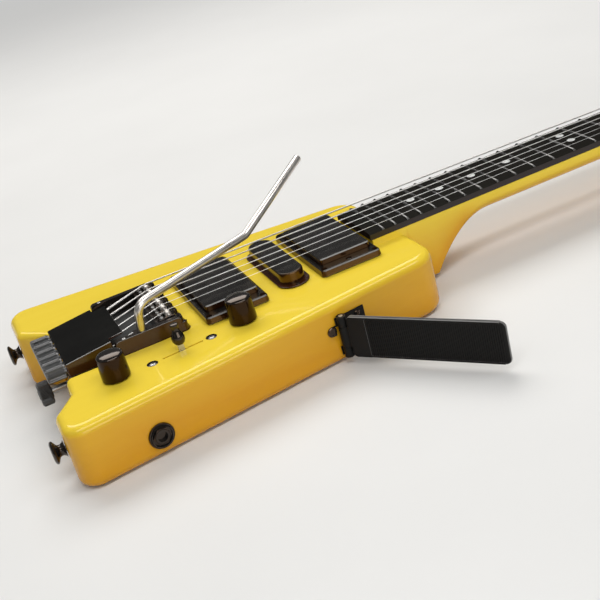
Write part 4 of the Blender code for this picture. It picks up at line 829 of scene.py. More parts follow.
button = {"y": 0.080, "z": 0.0215, "bore": 0.002,
          "profile": [(0, 0.0086), (0.0016, 0.0086), (0.0019, 0.0090), (0.0040, 0.0090),
                      (0.0060, 0.0088), (0.0072, 0.0081), (0.0075, 0.0073), (0.0072, 0.0066),
                      (0.0058, 0.0058), (0.0040, 0.0047), (0.0036, 0.0036), (0.0037, 0.0024),
                      (0.0046, 0.0011), (0.0056, 0.0003), (0.0017, 0.0003), (0.0017, -0.018), (0, -0.018)]}
selector = {"place": (-0.0042, -0.06165), "turn": 4.5, "slot": (0.0285, 0.0018, 0.0008),
            "slotShift": 0.0006, "screws": ((-0.025, -0.0633), (0.0166, -0.060)), "screwBore": 0.0038,
            "boreDeep": 0.0014, "screwDeep": 0.0013}
jack = {"x": -0.0388, "z": 0.0145, "bore": 0.005}
outward = Vector((body["taper"], -1, 0)).normalized()  # straight out of the treble side


def sideAt(x):
    return body["half"] - body["taper"] * x


def sideFace(x, height, distance=0.0):
    return Vector((x, -sideAt(x), height)) + outward * distance


# The outline with a rolled rim, rounder on the long sides than at the tail
def bodyBlank():
    tail, front = body["tail"], body["front"]
    corners = [(tail, -sideAt(tail), body["tailCorner"]), (front, -sideAt(front), body["frontCorner"]),
               (front, sideAt(front), body["frontCorner"]), (tail, sideAt(tail), body["bassTailCorner"]),
               (tail, body["notchEnds"][0], body["notchEndCorner"]), *body["notchFloor"],
               (tail, body["notchEnds"][1], body["notchEndCorner"])]
    points = [Vector(point) for point in arcCorners(corners, 10)]
    insets, rims = [], []
    for index, here in enumerate(points):
        before = (here - points[index - 1]).normalized()
        after = (points[(index + 1) % len(points)] - here).normalized()
        first, second = Vector((-before.y, before.x)), Vector((-after.y, after.x))
        middle = (first + second).normalized()
        insets.append(middle / middle.dot(first))
        share = 1.0
        if here.x < body["tailZone"]:
            share = min(max((abs(here.y) - body["rimFrom"]) / body["rimBlend"], 0.0), 1.0)
        rims.append(body["tailRim"] + share * (body["rim"] - body["tailRim"]))

    def build(bm):
        rings = []
        steps = body["rimSteps"]
        for upper in (False, True):
            for step in range(steps + 1):
                angle = math.radians(90 * (step if upper else steps - step) / steps)
                ring = []
                for here, inset, rim in zip(points, insets, rims):
                    flat = here + inset * rim * (1 - math.cos(angle))
                    height = rim * (1 - math.sin(angle))
                    ring.append(bm.verts.new((flat.x, flat.y, top - height if upper else height)))
                rings.append(ring)
        skin(bm, rings)

    return linked("bodyBlank", builtMesh("bodyBlank", build))


def boardHalf(x):
    share = (x - neck["start"]) / (scale - neck["start"])
    return neck["startHalf"] + share * (neck["endHalf"] - neck["startHalf"])


# A cross section of the neck, from the heel's full depth to the round back
def neckRing(x, steps=26):
    left = 1.0 - min(max((x - neck["heelFront"]) / neck["heelRun"], 0.0), 1.0)
    half = boardHalf(x) - neck["inset"]
    back = top - neck["thick"] - (top - neck["thick"] - 0.0003) * left ** 2.4
    side = top - neck["heelSide"] * left ** 2.1
    power = 2.0 / (2.0 + 2.0 * left ** 2)
    ring = [Vector((x, half, top + neck["overlap"]))]
    for step in range(steps + 1):
        angle = math.pi * step / steps
        across = math.copysign(abs(math.cos(angle)) ** power, math.cos(angle))
        ring.append(Vector((x, half * across, side - (side - back) * max(math.sin(angle), 0.0) ** power)))
    ring.append(Vector((x, -half, top + neck["overlap"])))
    return ring


def neckBlank():
    heel = [neck["heelFront"] + neck["heelRun"] * (step / 20) ** 1.3 for step in range(1, 21)]

    def build(bm):
        skin(bm, [[bm.verts.new(point) for point in neckRing(x)] for x in neck["plain"] + heel + neck["far"]])

    return linked("neckBlank", builtMesh("neckBlank", build))


# Plan of the bridge pocket, flared where it opens through the tail
def pocketOutline():
    half, bend = pocket["half"], pocket["mouthRound"]
    outline = [(pocket["step"], -half), (pocket["step"], half)]
    for side, floor in pocket["mouths"]:
        arc = []
        for step in range(9):
            angle = math.radians(90 * step / 8)
            arc.append((floor + bend - bend * math.sin(angle), side * (half + bend - bend * math.cos(angle))))
        arc.append((pocket["tail"], side * (half + bend)))
        outline += arc if side > 0 else arc[::-1]
    return outline


def cavityOutline(margin):
    tail, front = cavity["tail"] - margin, cavity["front"] + margin
    inner, wall, corner = cavity["inner"] + margin, cavity["wall"] - margin, cavity["corner"]
    return arcCorners([(tail, -sideAt(tail) + wall, corner), (front, -sideAt(front) + wall, corner),
                       (front, inner, corner), (tail, inner, corner)], 6)


# Pockets, bores and slots of the body, each reaching past the wood that it opens
def bodyCutters():
    above, half, front, corner = top + 0.02, pocket["half"], pocket["front"], pocket["corner"]
    behind = pocket["step"] - 0.01
    cutters = [prism("pocketCut", pocketOutline(), pocket["floor"], above),
               prism("ledgeCut", arcCorners([(behind, -half, 0), (front, -half, corner),
                                             (front, half, corner), (behind, half, 0)], 8),
                     top - pocket["ledge"], above),
               block("trussCut", (truss["start"], -truss["half"], top - truss["deep"]),
                     (truss["end"], truss["half"], above)),
               prism("cavityCut", cavityOutline(0), -0.01, top - cavity["roof"]),
               prism("recessCut", cavityOutline(cavity["ledge"]), -0.01, cavity["recess"]),
               rod("jackCut", sideFace(jack["x"], jack["z"], -0.02), sideFace(jack["x"], jack["z"], 0.01),
                   jack["bore"])]
    for name, x, plan in (("routCut", bridgePickup, rout["plan"]), ("routCut", neckPickup, rout["plan"]),
                          ("middleCut", middlePickup, rout["middlePlan"])):
        cutters.append(prism(name, roundRectangle(x, 0, *plan), top - rout["deep"], above))
    for x, y in (volumePlace, tonePlace):
        cutters.append(rod("potCut", (x, y, 0.03), (x, y, 0.05), potBore))
    slot = prism("slotCut", roundRectangle(selector["slotShift"], 0, *selector["slot"], 4), 0.03, 0.05)
    slot.data.transform(Matrix.Translation((*selector["place"], 0))
                        @ Matrix.Rotation(math.radians(selector["turn"]), 4, "Z"))
    cutters.append(slot)
    for x, y in selector["screws"]:
        cutters.append(rod("screwCut", (x, y, top - selector["boreDeep"]), (x, y, 0.05),
                           selector["screwBore"]))
    for side in (-1, 1):
        cutters.append(rod("postCut", (post["x"], side * post["y"], top - post["deep"]),
                           (post["x"], side * post["y"], top), post["bore"]))
        cutters.append(rod("buttonCut", (-0.11, side * button["y"], button["z"]),
                           (-0.0752, side * button["y"], button["z"]), button["bore"]))
    return cutters


def buildBody():
    piece = joinedTo(bodyBlank(), neckBlank())
    cutBy(piece, *bodyCutters())
    piece.name = "lacqueredBody"
    # Painted shade: the further a vertex lies under the flat face, the more of the darker side colour it gets
    values = []
    for vert in piece.data.vertices:
        x, y, z = vert.co
        shadeShare = min(max((top - z) / body["paintedShadeDrop"], 0.0), 1.0)
        # On the neck the painted side shade starts nearer to its face and stays lighter
        if x > neck["paintedShadeFrom"]:  # the neck's side tone starts nearer to its face
            shadeShare = min(max((top - z + neck["paintedShadeLift"]) / neck["paintedShadeDrop"], 0.0), 1.0) * neck["paintedShadeMost"]
        values.append(shadeShare * shadeShare * (3 - 2 * shadeShare))
    piece.data.attributes.new("paintedSideShade", "FLOAT", "POINT").data.foreach_set("value", values)

    def inCavity(face):
        x, y, z = face.center
        near = 0.0005
        return cavity["tail"] + near < x < cavity["front"] - near \
            and -sideAt(x) + cavity["wall"] - 3 * near < y < cavity["inner"] - near \
            and cavity["recess"] + 0.0002 < z < top - cavity["roof"] + near

    facesIn(clothed(piece, finish["yellowLacquer"]), [finish["shieldingPaint"]], inCavity)
    shaded(piece, 32)
    return fitted(piece, "guitar_body", "yellow_paint", "neck_through_core", "body_wing_bass",
                  "body_wing_treble")


buildBody()
print("body made")


board = {"low": top + 0.0053, "high": top + 0.0108, "radius": 0.36, "edge": 0.0005, "stations": 24}
fretWire = {"count": 24, "short": 0.0004,
            "profile": [(-0.0010, -0.0006), (-0.0010, 0.0001), (-0.00075, 0.0007), (-0.0003, 0.00105),
                        (0.0003, 0.00105), (0.00075, 0.0007), (0.0010, 0.0001), (0.0010, -0.0006)],
            "lifts": ((-1.0, 0.25), (-0.985, 0.75), (-0.965, 1.0), (-0.66, 1.0), (-0.33, 1.0), (0.0, 1.0),
                      (0.33, 1.0), (0.66, 1.0), (0.965, 1.0), (0.985, 0.75), (1.0, 0.25))}
inlay = {"frets": (3, 5, 7, 9, 12, 15, 17, 19, 21), "double": 12, "apart": 0.0072,
         "profile": [(0, -0.0004), (0.0031, -0.0004), (0.0031, 0.00001), (0.0029, 0.00004), (0, 0.00006)]}


# The board is a little round across
def boardTopAt(y):
    return board["high"] - y * y / (2 * board["radius"])


def buildBoard():
    stations = [neck["start"] + (scale - neck["start"]) * i / board["stations"]
                for i in range(board["stations"] + 1)]

    def build(bm):
        rings = []
        for x in stations:
            half = boardHalf(x)
            ring = [bm.verts.new((x, -half, board["low"])), bm.verts.new((x, half, board["low"]))]
            for step in range(9):
                y = half * (1 - step / 4)
                rise = boardTopAt(y) - (board["edge"] if step in (0, 8) else 0.0)
                ring.append(bm.verts.new((x, y, rise)))
            rings.append(ring)
        skin(bm, rings)

    piece = clothed(linked("fretboardWood", builtMesh("fretboardWood", build)), finish["ebonyBoard"])
    facesIn(piece, [finish["ebonyEdge"]], lambda face: face.normal.z < 0.7)
    shaded(piece, 30)
    return fitted(piece, "guitar_body", "fretboard_wood", "fretboard")


# One fret of unit half width, repeated by the tree and then bowed to the board
def buildFrets():
    def build(bm):
        skin(bm, [[bm.verts.new((x, y, z * lift if z > 0 else z)) for x, z in fretWire["profile"]]
                  for y, lift in fretWire["lifts"]])

    unit = linked("fretUnit", builtMesh("fretUnit", build))
    taper = (neck["endHalf"] - neck["startHalf"]) / (scale - neck["start"])
    half = neck["startHalf"] - neck["start"] * taper - fretWire["short"]
    frets = grown("fretWires", scaleCopies, unit, finish["fretNickel"],
                  {"Count": fretWire["count"], "Scale": scale, "Half": half, "Taper": taper})
    for vert in frets.data.vertices:
        vert.co.z += boardTopAt(vert.co.y)
    shaded(frets, 50, False)
    return fitted(frets, "guitar_body", "steel")


def buildDots():
    dots = []
    for fret in inlay["frets"]:
        x = (scale * 2 ** (-fret / 12) + scale * 2 ** (-(fret - 1) / 12)) / 2
        for y in ((-inlay["apart"], inlay["apart"]) if fret == inlay["double"] else (0.0,)):
            dots.append(clothed(lathe("dot", inlay["profile"], (x, y, boardTopAt(y)), (0, 0, 1), 28),
                                finish["inlayDots"]))
    piece = merged("positionDots", dots)
    shaded(piece, 40)
    return fitted(piece, "guitar_body", "fretboard_wood")


buildBoard()
buildFrets()
buildDots()
print("fretboard made")


strings = {"radii": (0.00013, 0.00017, 0.00022, 0.00033, 0.00046, 0.00058), "firstWound": 3,
           "tailX": -0.05695, "nutPitch": 0.00704, "nutZ": top + 0.013, "endX": 0.6675,
           "starts": (0.13, 0.33, 0.66, 0.95), "wrap": 1.9, "wrapLeast": 0.00042,
           "bendFrom": 0.0165, "bendTo": 0.0015, "ballRadius": 0.0018, "ballHalf": 0.0016}
bridge = {"pitch": 0.0106, "tunerPitch": 0.0105, "rollerZ": top + 0.0085 + 0.0003 + 0.0021 + 0.00055,
          "roller": 0.0022, "tunerZ": top + 0.001, "springZ": top - 0.0215}


def offsetOf(index):
    return index - 2.5


def ballAt(name, middle):
    reach = Vector((strings["ballHalf"], 0, 0))
    return clothed(rod(name, middle - reach, middle + reach, strings["ballRadius"], 20), finish["fretNickel"])


# A wire from near its ball, over the roller's crown, to the nut and into the headpiece
def buildString(index):
    label, thin, away = str(index + 1), strings["radii"][index], offsetOf(index)
    saddleZ = bridge["rollerZ"] + bridge["roller"] + 0.0003 + thin
    tail = Vector((strings["tailX"], away * bridge["tunerPitch"], bridge["tunerZ"] - 0.0006))
    saddle = Vector((0.0, away * bridge["pitch"], saddleZ))
    nut = Vector((scale, away * strings["nutPitch"], strings["nutZ"]))
    head = Vector((strings["endX"], away * strings["nutPitch"], strings["nutZ"]))
    points = [tail.lerp(saddle, share) for share in strings["starts"]]
    for step in range(1, 6):
        share = step / 6
        points.append(Vector((-0.0014 + 0.0028 * share, saddle.y, saddleZ - 0.0009 * (1 - share) ** 2)))
    points += [saddle.lerp(nut, (0.003 + 0.0015 * step) / scale) for step in range(10)]
    points += [saddle.lerp(nut, 0.03 + 0.97 * step / 20) for step in range(21)]
    points += [nut.lerp(head, 0.5), head]
    wrap = max(thin * strings["wrap"], strings["wrapLeast"])
    radii = [wrap, wrap, wrap * 0.9, thin] + [thin] * (len(points) - 4)
    wire = pipe("stringWire" + label, points, radii, 10)
    clothed(wire, finish["nickelWoundWire" if index >= strings["firstWound"] else "plainSteelWire"])
    ball = ballAt("stringBall" + label, tail)
    shaded(ball, 40, False)
    fitted(ball, "jaw_" + label, "string_steel")
    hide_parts("string_" + label)
    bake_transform(wire)


for index in range(6):
    buildString(index)
print("strings made")


# Radius and height of each head, and the reach of the hexagon in a cap screw's socket
screwSizes = {"saddleScrew": (0.0021, 0.0030, 0.0010), "pivotScrew": (0.0028, 0.0034, 0.0012),
              "railScrew": (0.0012, 0.0005, 0.0006), "heightScrew": (0.0012, 0.0014, 0.0006),
              "headScrew": (0.0026, 0.0004, 0.0013), "ringScrew": (0.0019, 0.0012),
              "flangeScrew": (0.0016, 0.0009), "selectorScrew": (0.0024, 0.0014),
              "cavityScrew": (0.0021, 0.0008), "bracketScrew": (0.0022, 0.0010)}


# A cap screw with a hexagon socket
def capScrew(name, place, direction=(0, 0, 1), made=finish["blackenedMetal"]):
    radius, height, socket = screwSizes[name]
    profile = [(0, 0), (radius, 0), (radius, 0.8 * height), (0.86 * radius, height),
               (socket * 1.1, height), (socket * 1.1, height - 0.00005), (0, height - 0.00005)]
    head = lathe(name, profile, place, direction, 28)
    hexagon = prism("socketCut", hexagonOf(socket), 0.35 * height, 2 * height)
    hexagon.data.transform(standing(place, direction))
    cutBy(head, hexagon)
    shaded(head, 35)
    return clothed(head, made)


# A round head with a cross recess
def crossScrew(name, place, direction=(0, 0, 1), made=finish["blackenedMetal"]):
    radius, height = screwSizes[name]
    profile = [(0, 0), (radius, 0), (radius, 0.45 * height), (0.8 * radius, 0.8 * height),
               (0.4 * radius, 0.97 * height), (0, height)]
    head = lathe(name, profile, place, direction, 24)
    for turn in (0.35, 0.35 + math.pi / 2):
        bar = block("crossCut", (-0.62 * radius, -0.13 * radius, 0.45 * height),
                    (0.62 * radius, 0.13 * radius, 2 * height))
        bar.data.transform(standing(place, direction) @ Matrix.Rotation(turn, 4, "Z"))
        cutBy(head, bar)
    shaded(head, 35)
    return clothed(head, made)


rails = {"half": 0.0376, "wide": 0.0042, "low": top - 0.003, "high": top + 0.0107, "tail": -0.040,
         "front": 0.0085, "corner": 0.0046, "tailRound": 0.0030, "bed": top + 0.0085, "lip": top + 0.0054,
         "nose": [(0.0085, 0.0046), (0.0078, 0.0056), (0.0058, 0.0090)], "armBore": 0.0032,
         "scallopX": 0.0107, "scallop": 0.0032, "postSleeve": 0.0034, "postRoof": top + 0.0033,
         "lobe": (0.0060, 0.0342, 0.0035), "lobeHigh": top + 0.0062, "floor": 0.002, "behind": -0.06,
         "channelFront": -0.0093, "trebleWall": 0.0036, "wallTail": -0.026, "wallFront": -0.015,
         "bedFront": 0.0050, "pastLip": 0.0200, "saddleScrew": (0.0064, 0.0050),
         "pivotScrew": (0.0046, 0.0341, 0.0070), "railScrewX": -0.0335, "railScrewIn": 0.0021}
arm = {"x": -0.0205, "y": -0.034, "bend": 0.009, "radius": 0.0029,
       "path": [(-0.0205, -0.034, top + 0.0015), (-0.0205, -0.034, top + 0.0117),
                (-0.0186, -0.0377, top + 0.030), (0.0737, 0.0055, top + 0.030),
                (0.135, 0.0342, top + 0.0595)],
       "tip": [(0.0009, 0.0029), (0.0004, 0.0026), (0.0001, 0.0020), (0.0, 0.0010)]}  # from the end, radius


# The frame's side view turned into a block and cut to its plan, before the channels
def railBlock():
    half, low, high = rails["half"], rails["low"], rails["high"]
    tail, front, bend = rails["tail"], rails["front"], rails["tailRound"]
    side = [(tail, low), (front, low)]
    side += [(x, top + lift) for x, lift in rails["nose"]]
    side += [(0.0040, high - 0.0003), (0.0030, high), (tail + bend, high)]
    for step in range(1, 8):
        angle = math.radians(90 * step / 7)
        side.append((tail + bend - bend * math.sin(angle), high - bend + bend * math.cos(angle)))
    piece = prism("railBlock", side, -half, half, "Y")
    behind = tail - 0.001
    plan = prism("planBlock", arcCorners([(behind, -half, 0), (front, -half, rails["corner"]),
                                          (front, half, rails["corner"]), (behind, half, 0)], 8),
                 low - 0.01, high + 0.01)
    combined(piece, "INTERSECT", [plan])
    bevelled(piece, 0.0008, 1, 40)
    x, y, radius = rails["lobe"]
    for sign in (-1, 1):
        joinedTo(piece, rod("postLobe", (x, sign * y, low), (x, sign * y, rails["lobeHigh"]), radius, 36))
    return piece


def buildFrame():
    half, low, high = rails["half"], rails["low"], rails["high"]
    inner, floor, above, overlap = half - rails["wide"], low + rails["floor"], 0.08, 0.0001
    behind, front, bedFront = rails["behind"], rails["channelFront"], rails["bedFront"]
    cuts = [block("channelCut", (behind, -inner + rails["trebleWall"], floor), (front, inner, above)),
            block("tailCut", (behind, -inner, floor), (rails["wallTail"], 0.0, above)),
            block("frontCut", (rails["wallFront"], -inner, floor), (front, 0.0, above)),
            block("bedCut", (front - overlap, -inner, rails["bed"]), (bedFront, inner, above)),
            block("lipCut", (bedFront - overlap, -inner, rails["lip"]), (rails["pastLip"], inner, above)),
            rod("armCut", (arm["x"], arm["y"], top + 0.0012), (arm["x"], arm["y"], above), rails["armBore"])]
    for y in (-post["y"], post["y"]):
        cuts.append(rod("postCut", (post["x"], y, low - 0.01), (post["x"], y, rails["postRoof"]),
                        rails["postSleeve"]))
    for index in range(7):
        y = (offsetOf(index) - 0.5) * bridge["pitch"]
        cuts.append(rod("scallop", (rails["scallopX"], y, low - 0.01), (rails["scallopX"], y, above),
                        rails["scallop"], 28))
    piece = cutBy(railBlock(), *cuts)
    shaded(piece, 32)

    # Painted light on the frame: the outer upright walls take a brown painted reflection of the yellow body,
    # and the chamfers along their tops a painted highlight
    def rule(face):
        x, y, z = face.center
        if z < top + 0.001 and abs(y) < inner and x < front - 0.0002:
            return 1
        if abs(y) > half - 0.001:
            return 2 if abs(face.normal.z) < 0.4 else 3
        return 0

    facesIn(clothed(piece, finish["blackenedMetal"]),
            [finish["shieldingPaint"], finish["paintedBrownReflection"], finish["paintedEdgeHighlight"]], rule)
    x, lift = rails["saddleScrew"]
    screws = [capScrew("saddleScrew", (x, offsetOf(index) * bridge["pitch"], top + lift))
              for index in range(6)]
    x, y, lift = rails["pivotScrew"]
    for side in (-1, 1):
        screws.append(capScrew("pivotScrew", (x, side * y, top + lift)))
        screws.append(capScrew("railScrew", (rails["railScrewX"], side * (half - rails["railScrewIn"]),
                                             high - 0.0003), made=finish["brightSteel"]))
    fitted(piece, "tremolo", "black_metal", "bridge_frame")
    fitted(merged("frameScrews", screws), "tremolo", "black_metal")


saddleUnit = {"half": 0.0047, "low": top + 0.0088, "high": top + 0.0109, "room": 0.0031, "roomHalf": 0.0029,
              "rollerStart": 0.0028, "axle": 0.0008, "screwX": -0.0052, "screwY": 0.0030,
              "roller": [(-0.0004, 0.0001), (0.0001, 0.0004), (0.0003, 0.0009), (0.0001, 0.0014),
                         (-0.0004, 0.0018), (-0.0004, 0.0038), (0.0001, 0.0042), (0.0003, 0.0047),
                         (0.0001, 0.0052), (-0.0004, 0.0055)]}  # radius over the roller's own, and height


# A black carrier with a chrome roller on an axle, and its small screws
def buildSaddle(index):
    y = offsetOf(index) * bridge["pitch"]
    half, low, high = saddleUnit["half"], saddleUnit["low"], saddleUnit["high"]
    side = [(-0.007, low), (0.0042, low), (0.0042, high - 0.0008), (0.0034, high + 0.0004),
            (-0.0032, high + 0.0004), (-0.0042, high - 0.0003), (-0.007, high - 0.0003)]
    carrier = prism("carrier", side, y - half, y + half, "Y")
    bevelled(carrier, 0.0003, 2, 50)
    room = block("rollerCut", (-saddleUnit["room"], y - saddleUnit["roomHalf"], low + 0.0001),
                 (saddleUnit["room"], y + saddleUnit["roomHalf"], 0.08))
    groove = block("grooveCut", (-0.01, y - 0.0009, high - 0.0009), (-0.0028, y + 0.0009, 0.08))
    cutBy(carrier, room, groove)
    shaded(carrier, 30)
    clothed(carrier, finish["blackenedMetal"])
    z, radius = bridge["rollerZ"], bridge["roller"]
    rings = [(radius + more, height) for more, height in saddleUnit["roller"]]
    profile = [(0, rings[0][1])] + rings + [(0, rings[-1][1])]
    roller = lathe("roller", profile, (0, y - saddleUnit["rollerStart"], z), (0, 1, 0), 32)
    shaded(clothed(roller, finish["polishedChrome"]), 30, False)
    axle = rod("axle", (0, y - half - 0.0002, z), (0, y + half + 0.0002, z), saddleUnit["axle"], 20)
    shaded(clothed(axle, finish["brightSteel"]), 40, False)
    screws = [capScrew("heightScrew", (saddleUnit["screwX"], y + sign * saddleUnit["screwY"], high - 0.0005),
                       made=finish["brightSteel"]) for sign in (-1, 1)]
    piece = merged("saddleUnit%d" % (index + 1), [carrier, roller, axle] + screws)
    return fitted(piece, "tremolo", "black_metal", "saddle_%d" % (index + 1))


cover = {"half": 0.031, "lipHalf": 0.0255, "low": top - 0.003, "tail": -0.0734, "step": -0.0412,
         "lip": -0.0315, "tailHeight": 0.0067, "slope": 0.1074, "wall": 0.0011, "roof": 0.0015}


def roofAt(x):
    return top + cover["tailHeight"] + cover["slope"] * (x - cover["tail"])


# Wedge-shaped cover over the jaws, with a narrower lip in front
def buildCover():
    half, low, roof = cover["half"], cover["low"], cover["roof"]
    tail, front, lip = cover["tail"], cover["step"], cover["lip"]
    piece = prism("coverMain", [(tail, low), (front, low), (front, roofAt(front)), (tail, roofAt(tail))],
                  -half, half, "Y")
    back = front - 0.004
    joinedTo(piece, prism("coverNose", [(back, roofAt(back) - roof), (lip, roofAt(lip) - roof),
                                        (lip, roofAt(lip)), (back, roofAt(back))],
                          -cover["lipHalf"], cover["lipHalf"], "Y"))
    for vert in piece.data.vertices:  # the joint with the lip stays on the slope
        if abs(abs(vert.co.y) - half) < 0.0001 and vert.co.z > top:
            vert.co.z = roofAt(vert.co.x)
    bevelled(piece, 0.0009, 1, 30)
    behind, ahead = tail - 0.01, front + 0.01
    cutBy(piece, prism("hollowCut", [(behind, low - 0.01), (ahead, low - 0.01), (ahead, roofAt(ahead) - roof),
                                     (behind, roofAt(behind) - roof)],
                       -half + cover["wall"], half - cover["wall"], "Y"))
    shaded(piece, 30)
    # Painted reflection of the yellow body on the cover's upright sides, and a painted highlight on its
    # treble chamfer
    sidesIn(clothed(piece, finish["powderedMetal"]), finish["paintedBrownReflection"], finish["paintedChamferHighlight"])
    return fitted(piece, "tremolo", "black_metal", "bridge_cover")


tuner = {"blockTail": -0.073, "wall": 0.0296, "rodHole": 0.0018, "springHole": 0.0028, "headX": -0.0738,
         "knurl": (0.00455, 0.0012, 0.0127, 40, 0.00033),
         "profile": [(0, 0.0137), (0.0030, 0.0136), (0.0042, 0.0133), (0.00455, 0.0129), (0.00455, 0.0010),
                     (0.0043, 0.0005), (0.0043, 0.0), (0.0015, 0.0), (0.0015, -0.0133), (0, -0.0133)]}
springKnob = {"x": -0.0875, "knurl": (0.0081, -0.0004, 0.0066, 60, 0.0004),
              "profile": [(0, 0.0078), (0.0030, 0.0078), (0.0034, 0.0075), (0.0070, 0.0075), (0.0078, 0.0071),
                          (0.0080, 0.0067), (0.0080, -0.0005), (0.0077, -0.0010), (0.0045, -0.0010),
                          (0.0045, -0.0016), (0.0025, -0.0016)],
              "shaft": [(0, -0.0016), (0.0025, -0.0016), (0.0025, -0.0272), (0.0022, -0.0275), (0, -0.0275)]}


def buildTunerBlock():
    tail, wall = tuner["blockTail"], tuner["wall"]
    plate = block("blockPlate", (tail, -0.031, top - 0.006), (-0.012, 0.031, top - 0.0033))
    joinedTo(plate, block("blockTail", (tail, -wall, top - 0.005), (-0.069, wall, top + 0.0042)),
             block("blockTongue", (tail, -0.013, top - 0.0285), (-0.069, 0.013, top - 0.005)))
    bevelled(plate, 0.0005, 2, 40)
    holes = [rod("rodHole", (-0.09, offsetOf(index) * bridge["tunerPitch"], bridge["tunerZ"]),
                 (-0.06, offsetOf(index) * bridge["tunerPitch"], bridge["tunerZ"]), tuner["rodHole"])
             for index in range(6)]
    holes.append(rod("springHole", (-0.09, 0, bridge["springZ"]), (-0.05, 0, bridge["springZ"]),
                     tuner["springHole"]))
    cutBy(plate, *holes)
    shaded(plate, 30)
    return fitted(clothed(plate, finish["blackenedMetal"]), "tremolo", "black_metal", "tuner_block")


# One ridge of a straight knurl, repeated round a barrel
def knurledBand(place, made, radius, low, high, count, rise):
    wide = math.pi * radius / count * 0.9

    def ridge(bm):
        skin(bm, [[bm.verts.new((-0.0001, -wide, height)), bm.verts.new((lift, 0.0, height)),
                   bm.verts.new((-0.0001, wide, height))]
                  for height, lift in ((low, 0.0), (low + 0.0002, rise), (high - 0.0002, rise), (high, 0.0))])

    unit = linked("ridgeUnit", builtMesh("ridgeUnit", ridge))
    return grown("knurlBand", ringCopies, unit, made, {"Count": count, "Radius": radius, "Turn": 0.0}, place)


# A finely knurled knob on its rod, with a domed end
def buildTuner(index):
    place = (tuner["headX"], offsetOf(index) * bridge["tunerPitch"], bridge["tunerZ"])
    barrel = clothed(lathe("barrel", tuner["profile"], place, (-1, 0, 0), 40), finish["knurledSteel"])
    shaded(barrel, 30)
    band = knurledBand(standing(place, (-1, 0, 0)), finish["knurledSteel"], *tuner["knurl"])
    piece = merged("tunerKnob%d" % (index + 1), [barrel, band])
    return fitted(piece, "tuner_%d" % (index + 1), "black_metal", "tuner_knob_%d" % (index + 1))


# A wider knurled wheel and its bright rod
def buildSpringKnob():
    place = (springKnob["x"], 0, bridge["springZ"])
    barrel = clothed(lathe("springBarrel", springKnob["profile"], place, (-1, 0, 0), 56), finish["wheelGrey"])
    shaft = clothed(lathe("springShaft", springKnob["shaft"], place, (-1, 0, 0), 28), finish["brightSteel"])
    shaded(barrel, 30)
    shaded(shaft, 40)
    band = knurledBand(standing(place, (-1, 0, 0)), finish["wheelGrey"], *springKnob["knurl"])
    return fitted(merged("springKnob", [barrel, shaft, band]), "spring_knob", "black_metal",
                  "spring_tension_knob")


def smoothPath(corners, radius, segments=9):
    points = [Vector(corners[0])]
    for before, here, after in zip(corners, corners[1:], corners[2:]):
        here = Vector(here)
        back = (Vector(before) - here).normalized()
        ahead = (Vector(after) - here).normalized()
        half = back.angle(ahead) / 2
        reach = min(radius / math.tan(half), 0.45 * (Vector(before) - here).length)
        first, last = here + back * reach, here + ahead * reach
        for step in range(segments + 1):
            share = step / segments
            points.append(first * (1 - share) ** 2 + here * 2 * share * (1 - share) + last * share ** 2)
    points.append(Vector(corners[-1]))
    return points


def buildArm():
    points = smoothPath(arm["path"], arm["bend"])
    end = points.pop()
    ahead = (end - points[-1]).normalized()
    radii = [arm["radius"]] * len(points) + [radius for back, radius in arm["tip"]]
    points += [end - ahead * back for back, radius in arm["tip"]]
    piece = clothed(pipe("armRod", points, radii, 28), finish["polishedChrome"])
    return fitted(piece, "arm", "chrome", "tremolo_arm")


buildFrame()
for index in range(6):
    buildSaddle(index)
    buildTuner(index)
buildCover()
buildTunerBlock()
buildSpringKnob()
buildArm()
print("bridge made")


mount = {"length": 0.0455, "width": 0.090, "corner": 0.003, "low": 0.0003, "high": 0.0052,
         "window": (0.0391, 0.07085, 0.002), "draftLength": 0.975, "draftWidth": 0.985,
         "screws": (0.0195, 0.0412), "middleScrew": 0.0395, "screwZ": 0.0034, "sink": 0.0021,
         "sinkZ": 0.0036}
humbucker = {"length": 0.0381, "width": 0.06985, "corner": 0.0022, "low": -0.016, "high": 0.0095}
single = {"plan": (0.018, 0.073, 0.0087), "low": -0.014, "high": 0.0095,
          "flange": (0.0231, 0.082, 0.0112), "flangeHeights": (0.0003, 0.0014), "screwY": 0.0388,
          "screwZ": 0.0012}


def buildRing(name, x, node):
    ring = prism("ring", roundRectangle(x, 0, mount["length"], mount["width"], mount["corner"]),
                 top + mount["low"], top + mount["high"])
    for vert in ring.data.vertices:
        if vert.co.z > top + 0.003:
            vert.co.x = x + (vert.co.x - x) * mount["draftLength"]
            vert.co.y *= mount["draftWidth"]
    bevelled(ring, 0.0007, 1, 60)
    along, across = mount["screws"]
    places = [(x + a * along, b * across) for a in (-1, 1) for b in (-1, 1)]
    places += [(x, -mount["middleScrew"]), (x, mount["middleScrew"])]
    cuts = [prism("ringCut", roundRectangle(x, 0, *mount["window"]), top - 0.01, top + 0.02)]
    cuts += [rod("countersink", (sx, sy, top + mount["sinkZ"]), (sx, sy, 0.08), mount["sink"], 24)
             for sx, sy in places]
    cutBy(ring, *cuts)
    shaded(ring, 32)
    # Painted reflection of the yellow body on the ring's upright sides, and a painted highlight on its treble
    # chamfer
    sidesIn(clothed(ring, finish["glossBlackPlastic"]), finish["paintedSideReflection"], finish["paintedEdgeHighlight"])
    screws = [crossScrew("ringScrew", (sx, sy, top + mount["screwZ"]),
                         made=finish["knurledSteel" if sx == x else "blackenedMetal"]) for sx, sy in places]
    return fitted(merged(name + "Ring", [ring] + screws), "guitar_body", "black_plastic", node)


